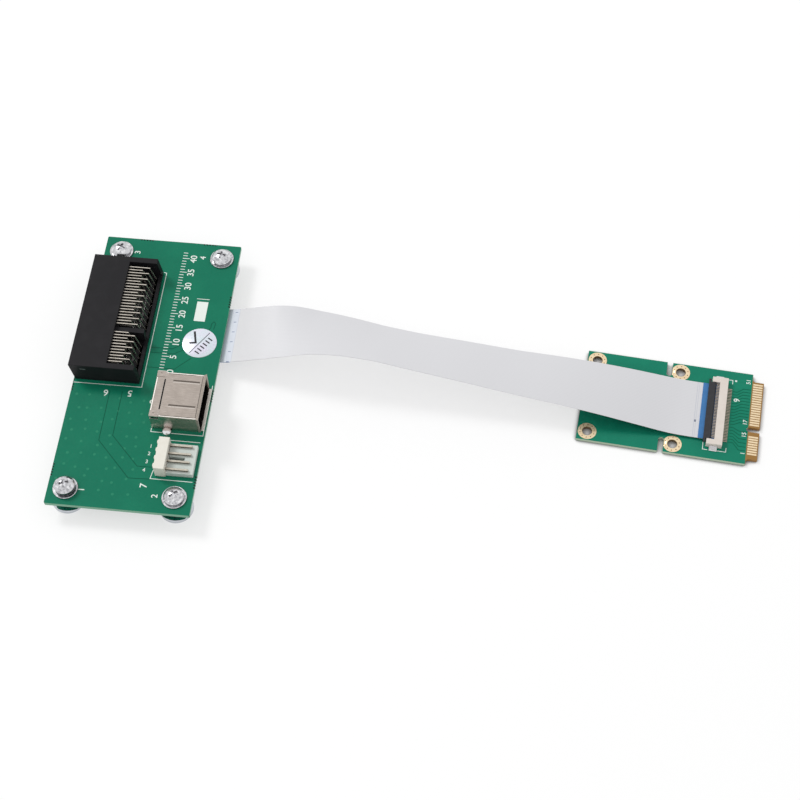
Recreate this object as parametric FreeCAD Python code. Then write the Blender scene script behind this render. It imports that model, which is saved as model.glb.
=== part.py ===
"""Adapter that brings a mini card socket out to a full size slot.

A main board on four round feet carries a right-angle x4 slot, a USB-A
receptacle and a four-way power header. A flat ribbon cable joins it to a mini
card with a gold edge tongue. Both ends of the cable sit in flip-latch
connectors. Millimetres, +Z up, the part stands on z = 0 and the origin is at
the middle of its footprint.
"""
import FreeCAD
import Part
import math
import os

from FreeCAD import Vector

# Flats round each small round piece, and how far a cut runs past a face
ROUND_SIDES = 12
PIN_SIDES = 8
OVERCUT = 1.0

# Main board
BOARD_W = 40.64
BOARD_L = 91.44
BOARD_T = 1.2
BOARD_CORNER = 0.25
HOLE_INSET = 5.08
SCREW_HOLE_D = 3.3
BITE_D = 0.55
BITE_PITCH = 0.85
BITE_COUNT = 5
BITES_RIGHT_FROM_NEAR = (71.2, 38.6, 10.4)
BITES_LEFT_FROM_NEAR = (38.6, 10.6)
BITES_FAR_FROM_LEFT = (12.0, 31.2)
LABEL_D = 10.0
LABEL_T = 0.1
LABEL_FROM_RIGHT = 6.72
LABEL_FROM_FAR = 35.37

# Screws, washers and feet
SCREW_D = 3.0
SCREW_TIP_GAP = 0.5
HEAD_D = 5.8
HEAD_H = 2.1
HEAD_RIM = 0.7
RECESS_W = 0.8
RECESS_SPAN = 3.2
RECESS_DEPTH = 1.1
RECESS_TURNS = (20, 65, 40, 80)
LOOSE_LIFT = 0.8
WASHER_D = 7.0
WASHER_T = 0.5
WASHER_HOLE_D = 3.4
THREAD_CLEAR = 0.05
FOOT_H = 5.0
FOOT_FLANGE_D = 9.6
FOOT_FLANGE_T = 1.3
FOOT_RIM = 0.4
FOOT_POST_D = 6.0
FOOT_FLOOR = 1.0

# Right-angle slot: front block with the card mouth, open bay behind it
SLOT_FROM_FAR = 31.42
SLOT_OVERHANG = 0.5
SLOT_H = 7.2
SLOT_FRONT_D = 10.8
SLOT_FRONT_LEAN = 0.95
SLOT_END_WALL = 1.75
SLOT_WALL_SLOPE = 0.7
SLOT_RIM_T = 1.0
SLOT_RIM_H = 1.3
SLOT_DIVIDER_T = 1.6
SLOT_DIVIDER_DROP = 1.6
SLOT_FLOOR_T = 0.6
SLOT_MARK_AT = 3.9
SLOT_MARK_L = 1.8
SLOT_MARK_H = 0.5
SLOT_MARK_DEPTH = 0.15
SLOT_MARK_DROP = 1.6
SLOT_PEG_D = 2.4
SLOT_PEG_INSET = 6.0
SLOT_PEG_BACK = 5.0
SLOT_PEG_OUT = 0.6
PEG_CLEAR = 0.1
SLOT_PITCH = 1.0
SLOT_NEAR_COUNT = 11
SLOT_FAR_COUNT = 21
SLOT_KEY_GAP = 3.0
SLOT_MARGIN = 1.25
KEY_T = 1.65
MOUTH_LIFT = 4.3
MOUTH_H = 1.75
MOUTH_DEPTH = 7.6
MOUTH_CHAMFER = 0.6
MOUTH_LIP = 1.2
CONTACT_W = 0.32
CONTACT_T = 0.3
CONTACT_CLEAR = 0.12
CONTACT_RISE = 2.05
CONTACT_TOUCH = 0.72
CONTACT_TIP_IN = 1.7
CONTACT_SPLAY = 1.3
CONTACT_FOOT = 0.8
ROW_PITCH = 2.0
ROW_FRONT_GAP = 1.35
ROW_RIM_GAP = 0.45
TAIL_OUT = 1.4
TAIL_CLEAR = 0.2

# USB-A receptacle: folded shell, insulator with tongue, four contacts
USB_FROM_NEAR = 33.82
USB_SETBACK = 1.3
USB_L = 14.0
USB_W = 14.7
USB_H = 6.8
USB_WALL = 0.3
USB_LIP_L = 0.7
USB_LIP_OUT = 0.25
USB_SILL_L = 0.7
USB_SILL_INSET = 0.4
USB_TAB_L = 2.5
USB_TAB_W = 1.9
USB_TAB_T = 0.2
USB_TAB_DROP = 0.4
USB_NOTCH_H = 1.0
USB_TAB_DIMPLE = 0.8
USB_GROOVE_L = 7.7
USB_GROOVE_W = 0.9
USB_GROOVE_DEPTH = 0.15
USB_GROOVE_SPREAD = 8.1
USB_GROOVE_SETBACK = 1.5
USB_GROOVE_OFFSET = 0.5
USB_SEAM_AT = 2.55
USB_SEAM_L = 10.0
USB_SEAM_W = 0.4
USB_LEG_AT = 4.5
USB_LEG_W = 2.4
USB_LEG_OUT = 1.2
USB_LEG_CLEAR = 0.2
USB_DOME_D = 3.1
USB_DOME_H = 1.2
USB_DOME_OUT = 0.7
USB_INSULATOR_D = 4.2
USB_INSULATOR_CLEAR = 0.1
USB_TONGUE_W = 11.0
USB_TONGUE_T = 1.9
USB_TONGUE_LIFT = 3.9
USB_TONGUE_SETBACK = 1.2
USB_PIN_Y = (-3.5, -1.0, 1.0, 3.5)
USB_PIN_W = 1.0
USB_PIN_T = 0.25
USB_PIN_BEND_AT = 2.0
USB_PIN_CLEAR = 0.05

# Power header: back wall with a bump behind each pin, low tray in front
HEADER_FROM_NEAR = 16.45
HEADER_SETBACK = 0.95
HEADER_W = 10.16
HEADER_WALL_T = 3.0
HEADER_WALL_H = 4.5
HEADER_TRAY_L = 7.7
HEADER_TRAY_H = 1.8
HEADER_TRAY_INSET = 0.4
HEADER_PITCH = 2.5
HEADER_WAYS = 4
HEADER_PIN = 0.55
HEADER_PIN_LIFT = 2.3
HEADER_PIN_SETBACK = 1.3
HEADER_PIN_BEND_AT = 1.4
HEADER_PIN_OUT = 1.6
HEADER_PIN_CLEAR = 0.05
HEADER_BUMP_D = 2.1
HEADER_BUMP_OUT = 0.5
HEADER_BUMP_DROP = 0.5
HEADER_KEY_L = 4.5
HEADER_KEY_W = 0.95
HEADER_KEY_GAP = 0.2

# Mini card
CARD_X = 123.955
CARD_Y = -7.61
CARD_TURN = -4.374
CARD_W = 30.0
CARD_L = 50.95
CARD_T = 1.0
TONGUE_L = 3.25
TONGUE_NEAR = 1.75
TONGUE_FAR = 2.55
TONGUE_ROOT = 0.6
TONGUE_ROOT_SHARE = 0.9
KEY_AT = 9.62
KEY_W = 1.5
KEY_DEPTH = 3.8
FINGER_PITCH = 0.8
FINGER_W = 0.55
FINGER_L = 2.7
FINGER_INSET = 0.3
FINGER_T = 0.05
FINGER_END_NEAR = 1.3
FINGER_END_FAR = 0.6
CARD_HOLE_D = 2.9
CARD_HOLE_INSET = 2.9
HALF_HOLE_AT = 27.05
PAD_D = 5.3
BREAK_AT = 23.8
BREAK_W = 1.6
BREAK_DEPTH = 4.6

# Flat cable and its flip-latch connectors
WAYS = 36
WAY_PITCH = 0.5
RIBBON_T = 0.15
STIFFENER_T = 0.15
STIFFENER_L = 6.0
ZIF_CARD_AT = 35.3
ZIF_BOARD_SETBACK = 1.0
ZIF_FROM_FAR = 31.02
ZIF_H = 2.0
ZIF_FLOOR = 0.55
ZIF_SIDE_CLEAR = 0.3
ZIF_EAR_T = 1.7
ZIF_EAR_H = 1.85
ZIF_EAR_AT = 0.95
ZIF_BAR_AT = 3.1
ZIF_BAR_D = 2.3
ZIF_POCKET_D = 1.65
ZIF_CABLE_CLEAR = 0.05
ZIF_INSERT = 0.9
ZIF_CONTACT_W = 0.25
ZIF_CONTACT_T = 0.2
ZIF_CONTACT_CLEAR = 0.06
ZIF_WEB_BACK = 0.35
ZIF_ARM_LIFT = 1.45
ZIF_ARM_REACH = 0.9
ZIF_TAIL_L = 1.4
ZIF_TAB_L = 2.2
ZIF_TAB_W = 1.3
ZIF_TAB_T = 0.25
ZIF_TAB_H = 1.2
LATCH_REACH = 1.75
LATCH_ROD_R = 0.35
LATCH_GAP = 0.06
LATCH_T = 0.7
LATCH_BAR_D = 0.65
LATCH_BAR_L = 21.0
LATCH_END_GAP = 0.1
TRUNNION_R = 0.3
TRUNNION_L = 0.9
TRUNNION_CLEAR = 0.05

# Cable course between the connectors: distance along the plan line, height
RIBBON_BOARD_RUN = 10.9
RIBBON_CARD_RUN = 13.9
RIBBON_BEND_SHARE = 0.45
RIBBON_ROUTE = (
    (21.1, 9.4),
    (31.6, 13.1),
    (43.7, 14.6),
    (58.3, 11.2),
    (75.4, 8.3),
    (93.4, 6.7),
    (111.4, 5.8),
    (124.8, 3.8),
)

UNDER = FOOT_H
TOP = FOOT_H + BOARD_T
NEAR = -BOARD_L / 2
FAR = BOARD_L / 2
LEFT = -BOARD_W / 2
RIGHT = BOARD_W / 2
SLOT_Y = FAR - SLOT_FROM_FAR
USB_Y = NEAR + USB_FROM_NEAR
HEADER_Y = NEAR + HEADER_FROM_NEAR
ZIF_BOARD_Y = FAR - ZIF_FROM_FAR
TONGUE_W = CARD_W - TONGUE_NEAR - TONGUE_FAR
RIBBON_W = (WAYS + 1) * WAY_PITCH


def block(x0, x1, y0, y1, z0, z1):
    return Part.makeBox(x1 - x0, y1 - y0, z1 - z0, Vector(x0, y0, z0))


def ring(r, x, y, sides):
    """Corners of a regular polygon on a circle."""
    angles = [(k + 0.5) * 2 * math.pi / sides for k in range(sides)]
    return [(x + r * math.cos(a), y + r * math.sin(a)) for a in angles]


def rod(d, x, y, z0, z1, sides=ROUND_SIDES):
    """Upright round bar whose flats meet on the circle."""
    loop = [Vector(px, py, z0) for px, py in ring(d / 2, x, y, sides)]
    return Part.Face(Part.makePolygon(loop + loop[:1])).extrude(Vector(0, 0, z1 - z0))


def bore(d, x, y, z0, z1, sides=ROUND_SIDES):
    """Upright round hole whose flats lie on the circle, so that a round bar fits."""
    return rod(d / math.cos(math.pi / sides), x, y, z0, z1, sides)


def outline_y(points, y0, y1):
    """Closed (x, z) outline carried along Y."""
    loop = [Vector(x, y0, z) for x, z in points]
    return Part.Face(Part.makePolygon(loop + loop[:1])).extrude(Vector(0, y1 - y0, 0))


def outline_x(points, x0, x1):
    """Closed (y, z) outline carried along X."""
    loop = [Vector(x0, y, z) for y, z in points]
    return Part.Face(Part.makePolygon(loop + loop[:1])).extrude(Vector(x1 - x0, 0, 0))


def turned(points, sides=ROUND_SIDES):
    """Closed (r, z) outline turned about Z in flats."""
    faces = []
    spokes = ring(1, 0, 0, sides)
    for (ax, ay), (bx, by) in zip(spokes, spokes[1:] + spokes[:1]):
        for (r0, z0), (r1, z1) in zip(points, points[1:] + points[:1]):
            loop = [Vector(r0 * ax, r0 * ay, z0), Vector(r0 * bx, r0 * by, z0)]
            loop += [Vector(r1 * bx, r1 * by, z1), Vector(r1 * ax, r1 * ay, z1)]
            if r0 == 0:
                loop = loop[1:]
            if r1 == 0:
                loop = loop[:-1]
            if len(loop) > 2:
                faces.append(Part.Face(Part.makePolygon(loop + loop[:1])))
    return Part.makeSolid(Part.makeShell(faces)).removeSplitter()


def strip_side(path, radii, offset):
    """Edges of one side of a bent strip, offset to the left of its centre line."""
    runs = [(b - a).normalize() for a, b in zip(path, path[1:])]
    lefts = [Vector(-d.z, 0, d.x) for d in runs]
    here = path[0] + lefts[0] * offset
    first = here
    edges = []
    for corner, r, d1, d2, n1, n2 in zip(path[1:-1], radii, runs, runs[1:], lefts, lefts[1:]):
        turn = math.atan2(d1.x * d2.z - d1.z * d2.x, d1.dot(d2))
        side = math.copysign(1, turn)
        if r == 0:
            mitre = corner + (n1 + n2) * (offset / (1 + n1.dot(n2)))
            edges.append(Part.LineSegment(here, mitre).toShape())
            here = mitre
            continue
        reach = r * math.tan(abs(turn) / 2)
        centre = corner - d1 * reach + n1 * (r * side)
        start = corner - d1 * reach + n1 * offset
        end = corner + d2 * reach + n2 * offset
        middle = centre + (corner - centre).normalize() * (r - offset * side)
        edges.append(Part.LineSegment(here, start).toShape())
        edges.append(Part.Arc(start, middle, end).toShape())
        here = end
    last = path[-1] + lefts[-1] * offset
    edges.append(Part.LineSegment(here, last).toShape())
    return edges, first, last


def strip(points, radii, t, width):
    """Strip of thickness t along (x, z) points, centred on y = 0; radius 0 mitres a corner."""
    path = [Vector(x, -width / 2, z) for x, z in points]
    upper, u0, u1 = strip_side(path, radii, t / 2)
    lower, l0, l1 = strip_side(path, radii, -t / 2)
    caps = [Part.LineSegment(u0, l0).toShape(), Part.LineSegment(u1, l1).toShape()]
    wire = Part.Wire(Part.__sortEdges__(upper + lower + caps))
    return Part.Face(wire).extrude(Vector(0, width, 0))


def at(shape, x=0.0, y=0.0, z=0.0):
    return shape.translated(Vector(x, y, z))


def group(shapes):
    return Part.makeCompound(shapes)


def on_card(shape):
    """From the card's own frame (tongue towards +X, underside at 0) to its place."""
    return at(shape.rotated(Vector(), Vector(0, 0, 1), CARD_TURN), CARD_X, CARD_Y, FINGER_T)


def card_point(x, y):
    a = math.radians(CARD_TURN)
    return Vector(CARD_X + x * math.cos(a) - y * math.sin(a),
                  CARD_Y + x * math.sin(a) + y * math.cos(a), 0)


nodes = {}
board_cuts = []

# Feet, screws and washers at the four corner holes
CORNERS = [(x, y) for x in (LEFT + HOLE_INSET, RIGHT - HOLE_INSET)
           for y in (NEAR + HOLE_INSET, FAR - HOLE_INSET)]
thread_r = SCREW_D / 2
foot = turned([
    (0, 0),
    (FOOT_FLANGE_D / 2, 0),
    (FOOT_FLANGE_D / 2, FOOT_FLANGE_T - FOOT_RIM),
    (FOOT_FLANGE_D / 2 - FOOT_RIM, FOOT_FLANGE_T),
    (FOOT_POST_D / 2, FOOT_FLANGE_T),
    (FOOT_POST_D / 2, FOOT_H),
    (thread_r + THREAD_CLEAR, FOOT_H),
    (thread_r + THREAD_CLEAR, FOOT_FLOOR),
    (0, FOOT_FLOOR),
])

head_seat = TOP + WASHER_T
screw_len = head_seat - FOOT_FLOOR - SCREW_TIP_GAP
dome_h = HEAD_H - HEAD_RIM
dome_r = ((HEAD_D / 2) ** 2 + dome_h ** 2) / (2 * dome_h)
half_arc = math.asin(HEAD_D / 2 / dome_r) / 2
screw = turned([
    (0, -screw_len),
    (thread_r, -screw_len),
    (thread_r, 0),
    (HEAD_D / 2, 0),
    (HEAD_D / 2, HEAD_RIM),
    (dome_r * math.sin(half_arc), HEAD_H - dome_r * (1 - math.cos(half_arc))),
    (0, HEAD_H),
])
arm = block(-RECESS_SPAN / 2, RECESS_SPAN / 2, -RECESS_W / 2, RECESS_W / 2,
            HEAD_H - RECESS_DEPTH, HEAD_H + OVERCUT)
screw = screw.cut(arm.fuse(arm.rotated(Vector(), Vector(0, 0, 1), 90)).removeSplitter())
washer = rod(WASHER_D, 0, 0, 0, WASHER_T)
washer = washer.cut(bore(WASHER_HOLE_D, 0, 0, -OVERCUT, WASHER_T + OVERCUT))

nodes["board_feet"] = group([at(foot, x, y) for x, y in CORNERS])
nodes["board_washers"] = group([at(washer, x, y, TOP) for x, y in CORNERS])
# The near left screw stands a little proud of its washer, the other three are tight
lifts = [LOOSE_LIFT, 0, 0, 0]
nodes["board_screws"] = group([
    at(screw.rotated(Vector(), Vector(0, 0, 1), turn), x, y, head_seat + lift)
    for (x, y), lift, turn in zip(CORNERS, lifts, RECESS_TURNS)
])
board_cuts += [bore(SCREW_HOLE_D, x, y, UNDER - OVERCUT, TOP + OVERCUT) for x, y in CORNERS]

# Right-angle slot
span = (SLOT_NEAR_COUNT + SLOT_FAR_COUNT - 2) * SLOT_PITCH + SLOT_KEY_GAP
first_y = SLOT_Y - span / 2
near_last = first_y + (SLOT_NEAR_COUNT - 1) * SLOT_PITCH
far_first = near_last + SLOT_KEY_GAP
contact_y = [first_y + i * SLOT_PITCH for i in range(SLOT_NEAR_COUNT)]
contact_y += [far_first + i * SLOT_PITCH for i in range(SLOT_FAR_COUNT)]
key_y = (near_last + far_first) / 2
mouth_y0 = first_y - SLOT_MARGIN
mouth_y1 = contact_y[-1] + SLOT_MARGIN
slot_y0 = mouth_y0 - SLOT_END_WALL
slot_y1 = mouth_y1 + SLOT_END_WALL
slot_front = LEFT - SLOT_OVERHANG
slot_back = slot_front + SLOT_FRONT_D
rows = [slot_back + ROW_FRONT_GAP + k * ROW_PITCH for k in (3, 2, 1, 0)]
slot_rear = rows[0] + ROW_RIM_GAP + SLOT_RIM_T
mouth_z = TOP + MOUTH_LIFT
slot_top = TOP + SLOT_H

housing = outline_y([
    (slot_front + SLOT_FRONT_LEAN, TOP),
    (slot_back, TOP),
    (slot_back, slot_top),
    (slot_front, slot_top),
], slot_y0, slot_y1)
bay_wall = [
    (slot_back, TOP),
    (slot_rear, TOP),
    (slot_rear, TOP + SLOT_RIM_H),
    (slot_rear - SLOT_WALL_SLOPE, slot_top),
    (slot_back, slot_top),
]
divider_top = slot_top - SLOT_DIVIDER_DROP
housing = housing.fuse([
    outline_y(bay_wall, slot_y0, mouth_y0),
    outline_y(bay_wall, mouth_y1, slot_y1),
    block(slot_rear - SLOT_RIM_T, slot_rear, slot_y0, slot_y1, TOP, TOP + SLOT_RIM_H),
    block(slot_back, slot_rear - SLOT_RIM_T / 2, key_y - SLOT_DIVIDER_T / 2,
          key_y + SLOT_DIVIDER_T / 2, TOP, divider_top),
    block(slot_back, slot_rear - SLOT_RIM_T / 2, slot_y0, slot_y1, TOP, TOP + SLOT_FLOOR_T),
])
lead_half = CONTACT_T / 2 + CONTACT_CLEAR
cavity_half = CONTACT_RISE + lead_half
contact_margin = CONTACT_W / 2 + CONTACT_CLEAR
mouth_back = slot_front + MOUTH_DEPTH
for y0, y1, c0, c1 in (
    (mouth_y0, key_y - KEY_T / 2, first_y, near_last),
    (key_y + KEY_T / 2, mouth_y1, far_first, contact_y[-1]),
):
    c0 = c0 - contact_margin
    c1 = c1 + contact_margin
    lead_in = outline_y([
        (slot_front - OVERCUT, mouth_z - MOUTH_H / 2 - MOUTH_CHAMFER - OVERCUT),
        (slot_front + SLOT_FRONT_LEAN + MOUTH_CHAMFER, mouth_z - MOUTH_H / 2),
        (slot_front + SLOT_FRONT_LEAN + MOUTH_CHAMFER, mouth_z + MOUTH_H / 2),
        (slot_front - OVERCUT, mouth_z + MOUTH_H / 2 + MOUTH_CHAMFER + OVERCUT),
    ], y0, y1)
    pocket = block(slot_front - OVERCUT, mouth_back, y0, y1,
                   mouth_z - MOUTH_H / 2, mouth_z + MOUTH_H / 2)
    cavity = block(slot_front + SLOT_FRONT_LEAN + MOUTH_LIP, mouth_back, c0, c1,
                   mouth_z - cavity_half, mouth_z + cavity_half)
    slits = [block(mouth_back - OVERCUT, slot_back + OVERCUT, c0, c1, z - lead_half, z + lead_half)
             for z in (mouth_z - CONTACT_RISE, mouth_z + CONTACT_RISE)]
    housing = housing.cut([lead_in, pocket, cavity] + slits)
mark_x = slot_front + SLOT_MARK_AT
mark_z = slot_top - SLOT_MARK_DROP
mark = block(mark_x - SLOT_MARK_L / 2, mark_x + SLOT_MARK_L / 2, slot_y0 - OVERCUT,
             slot_y0 + SLOT_MARK_DEPTH, mark_z - SLOT_MARK_H, mark_z)
housing = housing.cut(mark)
peg_x = slot_front + SLOT_PEG_BACK
pegs = [(peg_x, slot_y0 + SLOT_PEG_INSET), (peg_x, slot_y1 - SLOT_PEG_INSET)]
housing = housing.fuse([rod(SLOT_PEG_D, x, y, UNDER - SLOT_PEG_OUT, TOP) for x, y in pegs])
board_cuts += [bore(SLOT_PEG_D + 2 * PEG_CLEAR, x, y, UNDER - OVERCUT, TOP + OVERCUT)
               for x, y in pegs]


def slot_contact(up, row_x, splay):
    """Spring contact: sprung arm in the mouth, straight lead, leg leaning out, tail in the board."""
    tip_x = slot_front + SLOT_FRONT_LEAN + CONTACT_TIP_IN
    lead_z = mouth_z + up * CONTACT_RISE
    points = [(tip_x, mouth_z + up * CONTACT_TOUCH), (mouth_back, lead_z)]
    points.append((row_x - splay, lead_z))
    if splay:
        points.append((row_x, TOP + CONTACT_FOOT))
    points.append((row_x, UNDER - TAIL_OUT))
    return strip(points, [0] * (len(points) - 2), CONTACT_T, CONTACT_W)


tail_half = CONTACT_T / 2 + TAIL_CLEAR
tail_half_y = CONTACT_W / 2 + TAIL_CLEAR
row_slots = []
for name, up, short_row, long_row, splay in (
    ("slot_upper_contacts", 1, rows[1], rows[0], CONTACT_SPLAY),
    ("slot_lower_contacts", -1, rows[3], rows[2], 0),
):
    pair = (short_row, long_row)
    kinds = [slot_contact(up, x, splay) for x in pair]
    nodes[name] = group([at(kinds[i % 2], 0, y) for i, y in enumerate(contact_y)])
    # The tails of one row share a slot in the bay's floor and the board on each side of the key
    for first, last in ((0, SLOT_NEAR_COUNT), (SLOT_NEAR_COUNT, len(contact_y))):
        for k, x in enumerate(pair):
            row_y = [contact_y[i] for i in range(first, last) if i % 2 == k]
            row_slots.append(block(x - tail_half, x + tail_half, row_y[0] - tail_half_y,
                                   row_y[-1] + tail_half_y, UNDER - OVERCUT, TOP + OVERCUT))
board_cuts += row_slots
nodes["slot_housing"] = housing.cut(row_slots).removeSplitter()

# USB-A receptacle
usb_front = RIGHT - USB_SETBACK
usb_rear = usb_front - USB_L
lip_x = usb_front - USB_LIP_L


def usb_frame(x, grow, inset):
    """Rectangle of the shell's section at x, flared by grow on the sides and the top."""
    half = USB_W / 2 + grow - inset
    z0 = TOP + inset
    z1 = TOP + USB_H + grow - inset
    corners = [Vector(x, -half, z0), Vector(x, half, z0), Vector(x, half, z1), Vector(x, -half, z1)]
    return Part.makePolygon(corners + corners[:1])


inside = Part.makeLoft([usb_frame(usb_rear + USB_WALL, 0, USB_WALL),
                        usb_frame(lip_x, 0, USB_WALL)], True)
flare = Part.makeLoft([usb_frame(lip_x, 0, 0), usb_frame(usb_front, USB_LIP_OUT, 0)], True)
flare_in = Part.makeLoft([usb_frame(lip_x, 0, USB_WALL),
                          usb_frame(usb_front, USB_LIP_OUT, USB_WALL)], True)
shell = block(usb_rear, lip_x, -USB_W / 2, USB_W / 2, TOP, TOP + USB_H).fuse(flare)
sill_half = USB_W / 2 - USB_SILL_INSET
sill = block(usb_front - USB_LIP_L, usb_front + USB_SILL_L, -sill_half, sill_half, TOP, TOP + USB_WALL)
shell = shell.cut([inside, flare_in]).fuse(sill)
insulator_front = usb_rear + USB_WALL + USB_INSULATOR_CLEAR + USB_INSULATOR_D
shell_top = TOP + USB_H
groove_x1 = usb_front - USB_GROOVE_SETBACK
groove_x0 = groove_x1 - USB_GROOVE_L
groove_r = USB_GROOVE_W / 2
pressings = []
for y in (USB_GROOVE_OFFSET - USB_GROOVE_SPREAD / 2, USB_GROOVE_OFFSET + USB_GROOVE_SPREAD / 2):
    pressings.append(outline_x([
        (y - groove_r, shell_top),
        (y, shell_top - USB_GROOVE_DEPTH),
        (y + groove_r, shell_top),
    ], groove_x0, groove_x1))
seam_x = usb_rear + USB_SEAM_AT
pressings.append(block(seam_x - USB_SEAM_W / 2, seam_x + USB_SEAM_W / 2, -USB_SEAM_L / 2,
                       USB_SEAM_L / 2, shell_top - 2 * USB_WALL, shell_top + OVERCUT))
under_gap = block(usb_rear - OVERCUT, insulator_front + USB_INSULATOR_CLEAR, -USB_W / 2 + USB_WALL,
                  USB_W / 2 - USB_WALL, TOP - OVERCUT, TOP + USB_WALL)
shell = shell.cut(pressings + [under_gap])
# Rear corner tabs folded over the edge, each with a dimple, and an open notch under each
tabs = []
dimples = []
notches = []
for side in (-1, 1):
    edge = side * (USB_W / 2 + USB_TAB_T)
    y0, y1 = sorted((edge, edge - side * USB_TAB_W))
    tabs.append(block(usb_rear, usb_rear + USB_TAB_L, y0, y1,
                      shell_top - USB_TAB_DROP, shell_top + USB_TAB_T))
    dimples.append(rod(USB_TAB_DIMPLE, usb_rear + USB_TAB_L / 2, (y0 + y1) / 2,
                       shell_top, shell_top + USB_TAB_T + OVERCUT, PIN_SIDES))
    wall_y = sorted((side * (USB_W / 2 - USB_WALL), edge + side * OVERCUT))
    notches.append(block(usb_rear - OVERCUT, usb_rear + USB_TAB_L, *wall_y,
                         shell_top - USB_TAB_DROP - USB_NOTCH_H, shell_top - USB_TAB_DROP))
shell = shell.fuse(tabs).cut(dimples + notches + [inside])
leg_x = usb_rear + USB_LEG_AT
leg_half = USB_LEG_W / 2
legs = []
for side in (-1, 1):
    y_out = side * USB_W / 2
    y_in = side * (USB_W / 2 - USB_WALL)
    y0, y1 = sorted((y_out, y_in))
    legs.append(block(leg_x - leg_half, leg_x + leg_half, y0, y1, UNDER - USB_LEG_OUT, TOP + USB_WALL))
    board_cuts.append(block(leg_x - leg_half - USB_LEG_CLEAR, leg_x + leg_half + USB_LEG_CLEAR,
                            USB_Y + y0 - USB_LEG_CLEAR, USB_Y + y1 + USB_LEG_CLEAR,
                            UNDER - OVERCUT, TOP + OVERCUT))
shell = shell.fuse(legs).removeSplitter()
nodes["usb_shell"] = at(shell, 0, USB_Y)

cap_r = ((USB_DOME_D / 2) ** 2 + USB_DOME_H ** 2) / (2 * USB_DOME_H)
cap_arc = math.asin(USB_DOME_D / 2 / cap_r) / 2
cap = turned([
    (0, 0),
    (USB_DOME_D / 2, 0),
    (cap_r * math.sin(cap_arc), USB_DOME_H - cap_r * (1 - math.cos(cap_arc))),
    (0, USB_DOME_H),
])
envelope = block(usb_rear, usb_front, -USB_W / 2, USB_W / 2, TOP - OVERCUT, TOP + USB_H)
domes = [at(cap, leg_x, side * (USB_W / 2 + USB_DOME_OUT), TOP).cut(envelope) for side in (-1, 1)]
nodes["usb_solder_domes"] = at(group(domes), 0, USB_Y)

insulator_half = USB_W / 2 - USB_WALL - USB_INSULATOR_CLEAR
tongue_z = TOP + USB_TONGUE_LIFT
insulator = block(insulator_front - USB_INSULATOR_D, insulator_front, -insulator_half,
                  insulator_half, TOP, TOP + USB_H - USB_WALL - USB_INSULATOR_CLEAR)
insulator = insulator.fuse(block(insulator_front - OVERCUT, usb_front - USB_TONGUE_SETBACK,
                                 -USB_TONGUE_W / 2, USB_TONGUE_W / 2,
                                 tongue_z, tongue_z + USB_TONGUE_T))
pin_z = tongue_z + USB_PIN_T / 2
pin_points = [
    (usb_front - USB_TONGUE_SETBACK - USB_PIN_W, pin_z),
    (usb_rear + USB_PIN_BEND_AT, pin_z),
    (usb_rear + USB_PIN_BEND_AT, UNDER - TAIL_OUT),
]
usb_pin = strip(pin_points, [0], USB_PIN_T, USB_PIN_W)
pin_groove = strip(pin_points, [0], USB_PIN_T + 2 * USB_PIN_CLEAR, USB_PIN_W + 2 * USB_PIN_CLEAR)
insulator = insulator.cut([at(pin_groove, 0, y) for y in USB_PIN_Y]).removeSplitter()
nodes["usb_insulator"] = at(insulator, 0, USB_Y)
nodes["usb_contacts"] = group([at(usb_pin, 0, USB_Y + y) for y in USB_PIN_Y])
pin_x = usb_rear + USB_PIN_BEND_AT
for y in USB_PIN_Y:
    board_cuts.append(block(pin_x - USB_PIN_T / 2 - TAIL_CLEAR, pin_x + USB_PIN_T / 2 + TAIL_CLEAR,
                            USB_Y + y - USB_PIN_W / 2 - TAIL_CLEAR,
                            USB_Y + y + USB_PIN_W / 2 + TAIL_CLEAR,
                            UNDER - OVERCUT, TOP + OVERCUT))

# Power header
header_front = RIGHT - HEADER_SETBACK
wall_front = header_front - HEADER_TRAY_L
wall_rear = wall_front - HEADER_WALL_T
header_y = [(i - (HEADER_WAYS - 1) / 2) * HEADER_PITCH for i in range(HEADER_WAYS)]
tray_half = HEADER_W / 2 - HEADER_TRAY_INSET
body = block(wall_rear, wall_front, -HEADER_W / 2, HEADER_W / 2, TOP, TOP + HEADER_WALL_H)
bump_x = wall_rear + HEADER_BUMP_D / 2 - HEADER_BUMP_OUT
body = body.fuse(
    [block(wall_front, header_front, -tray_half, tray_half, TOP, TOP + HEADER_TRAY_H)]
    + [rod(HEADER_BUMP_D, bump_x, y, TOP, TOP + HEADER_WALL_H - HEADER_BUMP_DROP, PIN_SIDES)
       for y in header_y]
)
header_pin_z = TOP + HEADER_PIN_LIFT
header_pin_x = wall_rear + HEADER_PIN_BEND_AT
header_points = [
    (header_front - HEADER_PIN_SETBACK, header_pin_z),
    (header_pin_x, header_pin_z),
    (header_pin_x, UNDER - HEADER_PIN_OUT),
]
header_pin = strip(header_points, [0], HEADER_PIN, HEADER_PIN)
pin_room = HEADER_PIN + 2 * HEADER_PIN_CLEAR
pin_hole = strip(header_points, [0], pin_room, pin_room)
key_slot = block(wall_front + HEADER_KEY_GAP, wall_front + HEADER_KEY_GAP + HEADER_KEY_L,
                 -HEADER_KEY_W / 2, HEADER_KEY_W / 2, TOP - OVERCUT, TOP + HEADER_TRAY_H + OVERCUT)
body = body.cut([at(pin_hole, 0, y) for y in header_y] + [key_slot]).removeSplitter()
nodes["power_header_body"] = at(body, 0, HEADER_Y)
nodes["power_header_pins"] = group([at(header_pin, 0, HEADER_Y + y) for y in header_y])
header_hole = HEADER_PIN / 2 + TAIL_CLEAR
for y in header_y:
    board_cuts.append(block(header_pin_x - header_hole, header_pin_x + header_hole,
                            HEADER_Y + y - header_hole, HEADER_Y + y + header_hole,
                            UNDER - OVERCUT, TOP + OVERCUT))

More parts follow.
